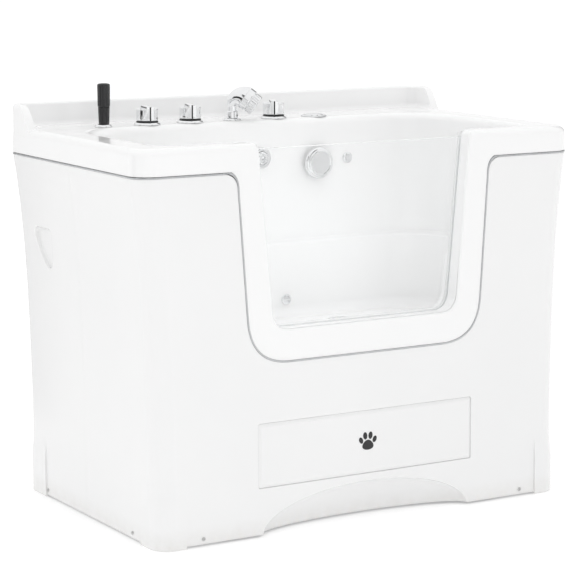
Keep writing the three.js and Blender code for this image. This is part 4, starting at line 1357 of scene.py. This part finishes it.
class Look(Graph):
    """One procedural material."""

    def __init__(self, name):
        self.material = bpy.data.materials.new(name)
        self.material.use_nodes = True
        super().__init__(self.material, "Principled BSDF", "Object")

    def blend(self, share, first, second):
        node = self.nodes.new("ShaderNodeMix")
        node.data_type = "RGBA"
        colours = [socket for socket in node.inputs if socket.type == "RGBA"]
        for socket, value in zip(colours, (first, second)):
            self.feed(socket, (*value, 1) if isinstance(value, tuple) else value)
        self.links.new(share, node.inputs[0])
        return next(socket for socket in node.outputs if socket.type == "RGBA")

    def bump(self, value, strength, distance):
        inputs = {"Height": value, "Strength": strength, "Distance": distance}
        return self.set(Normal=self.node("Bump", "Normal", **inputs))

    def colour(self, light, dark, scale, worn=None):
        """Mottles between two colours; worn adds a third towards the floor, as (colour, height)."""
        mottle = self.blend(self.ranged(self.noise(scale, 3), 0, 1), light, dark)
        if worn:
            shade, height = worn
            rise = self.ranged(self.along("Z"), 1, 0, 0, height)
            share = self.maths("MULTIPLY", rise, self.ranged(self.noise(38, 5), 0.25, 0.9))
            mottle = self.blend(share, mottle, shade)
        return self.set(Base_Color=mottle)

    def roughness(self, low, high, scale, place=None):
        return self.set(Roughness=self.ranged(self.noise(scale, 6, 0.6, place), low, high))


def surface(name, light, dark, mottle, rough, bump, worn=None, **values):
    """A finish mottled between two colours; rough is (low, high, scale) and bump is (scale,
    detail, strength, depth)."""
    look = Look(name).colour(light, dark, mottle, worn).roughness(*rough).set(**values)
    scale, detail, strength, depth = bump
    return look.bump(look.noise(scale, detail), strength, depth).material


def glossy_white(name, light, dark, waviness):
    worn = ((0.80, 0.79, 0.77), 0.05)
    shine = {"IOR": 1.49, "Coat_Weight": 0.3, "Coat_Roughness": 0.06}
    bump = (5, 3, waviness, 0.0012)
    return surface(name, light, dark, 2.2, (0.17, 0.25, 14), bump, worn, **shine)


def plated(name, light, dark, low, high):
    return surface(name, light, dark, 26, (low, high, 90), (240, 3, 0.04, 0.0003), Metallic=1.0)


def moulded(name, light, dark, low, high, grain, strength, worn=None):
    bump = (grain, 4, strength, 0.0004)
    return surface(name, light, dark, 9, (low, high, 30), bump, worn, IOR=1.5)


def brushed(name, light, dark):
    look = Look(name).colour(light, dark, 40)
    look.roughness(0.24, 0.42, 60, look.stretched(1, 14, 14))
    look.set(Metallic=1.0)
    return look.bump(look.noise(420, 2, 0.5, look.stretched(1, 9, 9)), 0.12, 0.0003).material


def tempered(name):
    """Clear glass that lets lamps, floor light and reflected views straight through."""
    look = Look(name).colour((0.997, 1.0, 1.0), (0.985, 0.992, 0.992), 3)
    look.roughness(0.0, 0.02, 6)
    look.set(IOR=1.46, Transmission_Weight=1.0)
    look.bump(look.noise(2.4, 2), 0.02, 0.0006)
    path = look.nodes.new("ShaderNodeLightPath").outputs
    lamps = look.maths("MAXIMUM", path["Is Shadow Ray"], path["Is Diffuse Ray"])
    mirrored = look.maths("GREATER_THAN", path["Is Glossy Ray"], path["Is Transmission Ray"])
    clear = look.node("BsdfTransparent", 0, Color=(0.985, 0.99, 0.99, 1))
    look.mixed(look.maths("MAXIMUM", lamps, mirrored), look.shader.outputs[0], clear)
    return look.material


FINISHES = {
    "acrylic": glossy_white("white_acrylic", (0.94, 0.94, 0.94), (0.922, 0.923, 0.924), 0.10),
    "skirt": glossy_white("white_skirt", (0.895, 0.895, 0.895), (0.873, 0.874, 0.875), 0.14),
    # painted shade: the trim's chrome is darker than the fittings' chrome to stand in for the seam
    # gap's shade and its dark reflections
    "trim": plated("trim_chrome_painted_dark", (0.56, 0.57, 0.58), (0.47, 0.48, 0.49), 0.12, 0.24),
    "chrome": plated("chrome_plate", (0.90, 0.905, 0.91), (0.85, 0.855, 0.865), 0.035, 0.09),
    "button": plated("button_chrome", (0.86, 0.865, 0.87), (0.80, 0.805, 0.815), 0.08, 0.16),
    "screw": brushed("stainless", (0.62, 0.62, 0.61), (0.52, 0.52, 0.52)),
    "seal": surface(
        "silicone_seal", (0.90, 0.905, 0.905), (0.86, 0.865, 0.865), 14, (0.3, 0.5, 34),
        (160, 3, 0.12, 0.0003), IOR=1.41, Coat_Weight=0.1,
    ),
    "glass": tempered("tempered_glass"),
    "pipe": moulded("white_pvc", (0.80, 0.80, 0.785), (0.74, 0.74, 0.72), 0.34, 0.5, 120, 0.12),
    "brass": plated("cast_brass", (0.72, 0.58, 0.32), (0.58, 0.45, 0.24), 0.26, 0.42),
    "black": moulded(
        "satin_black", (0.022, 0.022, 0.024), (0.012, 0.012, 0.013), 0.16, 0.27, 300, 0.1,
    ),
    "frame_steel": surface(
        "grey_powder_coat", (0.50, 0.515, 0.525), (0.43, 0.445, 0.455), 12, (0.42, 0.6, 40),
        (900, 2, 0.35, 0.0003), ((0.30, 0.29, 0.28), 0.03),
    ),
    "foot_rubber": surface(
        "black_rubber", (0.03, 0.03, 0.03), (0.018, 0.018, 0.018), 30, (0.62, 0.82, 50),
        (600, 3, 0.3, 0.0004), ((0.16, 0.155, 0.15), 0.012),
    ),
    "pump": moulded(
        "pump_casing", (0.045, 0.048, 0.052), (0.028, 0.03, 0.033), 0.4, 0.58, 260, 0.3,
        ((0.12, 0.115, 0.11), 0.09),
    ),
}

base_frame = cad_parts["base_frame"]
bevel(base_frame, 2.2, 3)
base_frame.modifiers.new("shading", "WEIGHTED_NORMAL").keep_sharp = True
for material_slot in base_frame.material_slots:
    material_slot.material = FINISHES["frame_steel"]

for piece, finish in PLACED:
    piece.data.materials.clear()
    piece.data.materials.append(FINISHES[finish])

# ---------- floor and light ----------

SKY_FLOOR = 0.92
SKY_TOP = 1.0
UPRIGHTS = ((-120, 9, 0.12), (165, 7, 0.15), (60, 10, 0.3))
KEY_POWER = 9
OVERHEAD_POWER = 9.8
CORNER_POWER = 1.6
BASIN_POWER = 0.32


def floor():
    """A wide pale floor whose own faint glow keeps it an even white around the part."""
    mesh = bpy.data.meshes.new("floor")
    reach = 60
    corners = [(-reach, -reach, 0), (reach, -reach, 0), (reach, reach, 0), (-reach, reach, 0)]
    mesh.from_pydata(corners, [], [(0, 1, 2, 3)])
    ground = link("floor", mesh)
    look = Look("pale_floor").colour((0.80, 0.80, 0.80), (0.79, 0.79, 0.79), 1.5)
    look.roughness(0.75, 0.85, 8)
    look.set(Emission_Color=(1, 1, 1, 1), Emission_Strength=0.32)
    ground.data.materials.append(look.material)


def area_light(name, place, aim, size, power):
    lamp = bpy.data.lights.new(name, "AREA")
    lamp.shape = "RECTANGLE"
    lamp.size, lamp.size_y = size
    lamp.energy = power
    holder = aimed(name, lamp, place, Vector(aim) - Vector(place))
    holder.visible_camera = holder.visible_glossy = holder.visible_transmission = False


def flag(name, place, turn, width, height, fade=None, glow=0.0):
    """A dark studio card that only polished surfaces show; fade (from Y, to Y) thins it out."""
    half = width / 2
    mesh = bpy.data.meshes.new(name)
    corners = [(-half, 0, 0), (half, 0, 0), (half, 0, height), (-half, 0, height)]
    mesh.from_pydata(corners, [], [(0, 1, 2, 3)])
    mesh.transform(Matrix.Translation(place) @ Matrix.Rotation(math.radians(turn), 4, "Z"))
    card = link(name, mesh)
    look = Look(name).colour((0.02, 0.02, 0.02), (0.01, 0.01, 0.01), 3)
    look.roughness(0.8, 0.9, 3).set(Emission_Color=(1, 1, 1, 1), Emission_Strength=glow)
    if fade:
        clear = look.node("BsdfTransparent", 0)
        look.mixed(look.ranged(look.along("Y"), 0, 1, *fade), clear, look.shader.outputs[0])
    mesh.materials.append(look.material)
    for kind in ("camera", "diffuse", "shadow", "transmission"):
        setattr(card, f"visible_{kind}", False)


def studio():
    """An even white surround with three dim uprights, which give the chrome something to show."""
    world = bpy.data.worlds.new("studio")
    bpy.context.scene.world = world
    sky = Graph(world, "Background", "Generated")
    up = sky.along("Z")
    around = sky.maths("ARCTAN2", sky.along("X"), sky.along("Y"))
    level = sky.ranged(up, SKY_FLOOR, SKY_TOP, 0.0, 0.9, "SMOOTHSTEP")
    for middle, half, dim in UPRIGHTS:
        gap = sky.maths("ABSOLUTE", sky.maths("SUBTRACT", around, math.radians(middle)))
        band = sky.ranged(gap, dim, 1, math.radians(half), math.radians(half + 5), "SMOOTHSTEP")
        high = sky.ranged(up, 0, 1, 0.55, 0.7, "SMOOTHSTEP")
        level = sky.maths("MULTIPLY", level, sky.maths("MAXIMUM", band, high))
    sky.set(Strength=level, Color=(1, 1, 1, 1))
    area_light("key", (-1.2, -3.2, 3.4), (0, 0, 0.5), (2.6, 2.6), KEY_POWER)
    area_light("overhead", (0.2, 0.1, 3.2), (0, 0, 0.5), (3.2, 2.6), OVERHEAD_POWER)
    area_light("corner", (-1.7, -1.9, 1.1), (-0.5, -0.3, 0.6), (0.8, 1.6), CORNER_POWER)
    area_light("basin", (0.06, -0.2, 0.64), (0.06, 0.18, 0.6), (0.5, 0.26), BASIN_POWER)
    bpy.context.scene.view_settings.view_transform = "Standard"
    bpy.context.scene.view_settings.look = "None"


floor()
studio()
flag("flag_rear", (-0.9, 1.4, 0), 90, 2.4, 0.95, fade=(0.85, 1.5))
flag("flag_grey", (-2.0, -1.35, 0.4), 125, 1.5, 1.3, glow=0.6)
flag("flag_side", (-2.67, 0.0, 0.5), 90, 1.0, 1.0)
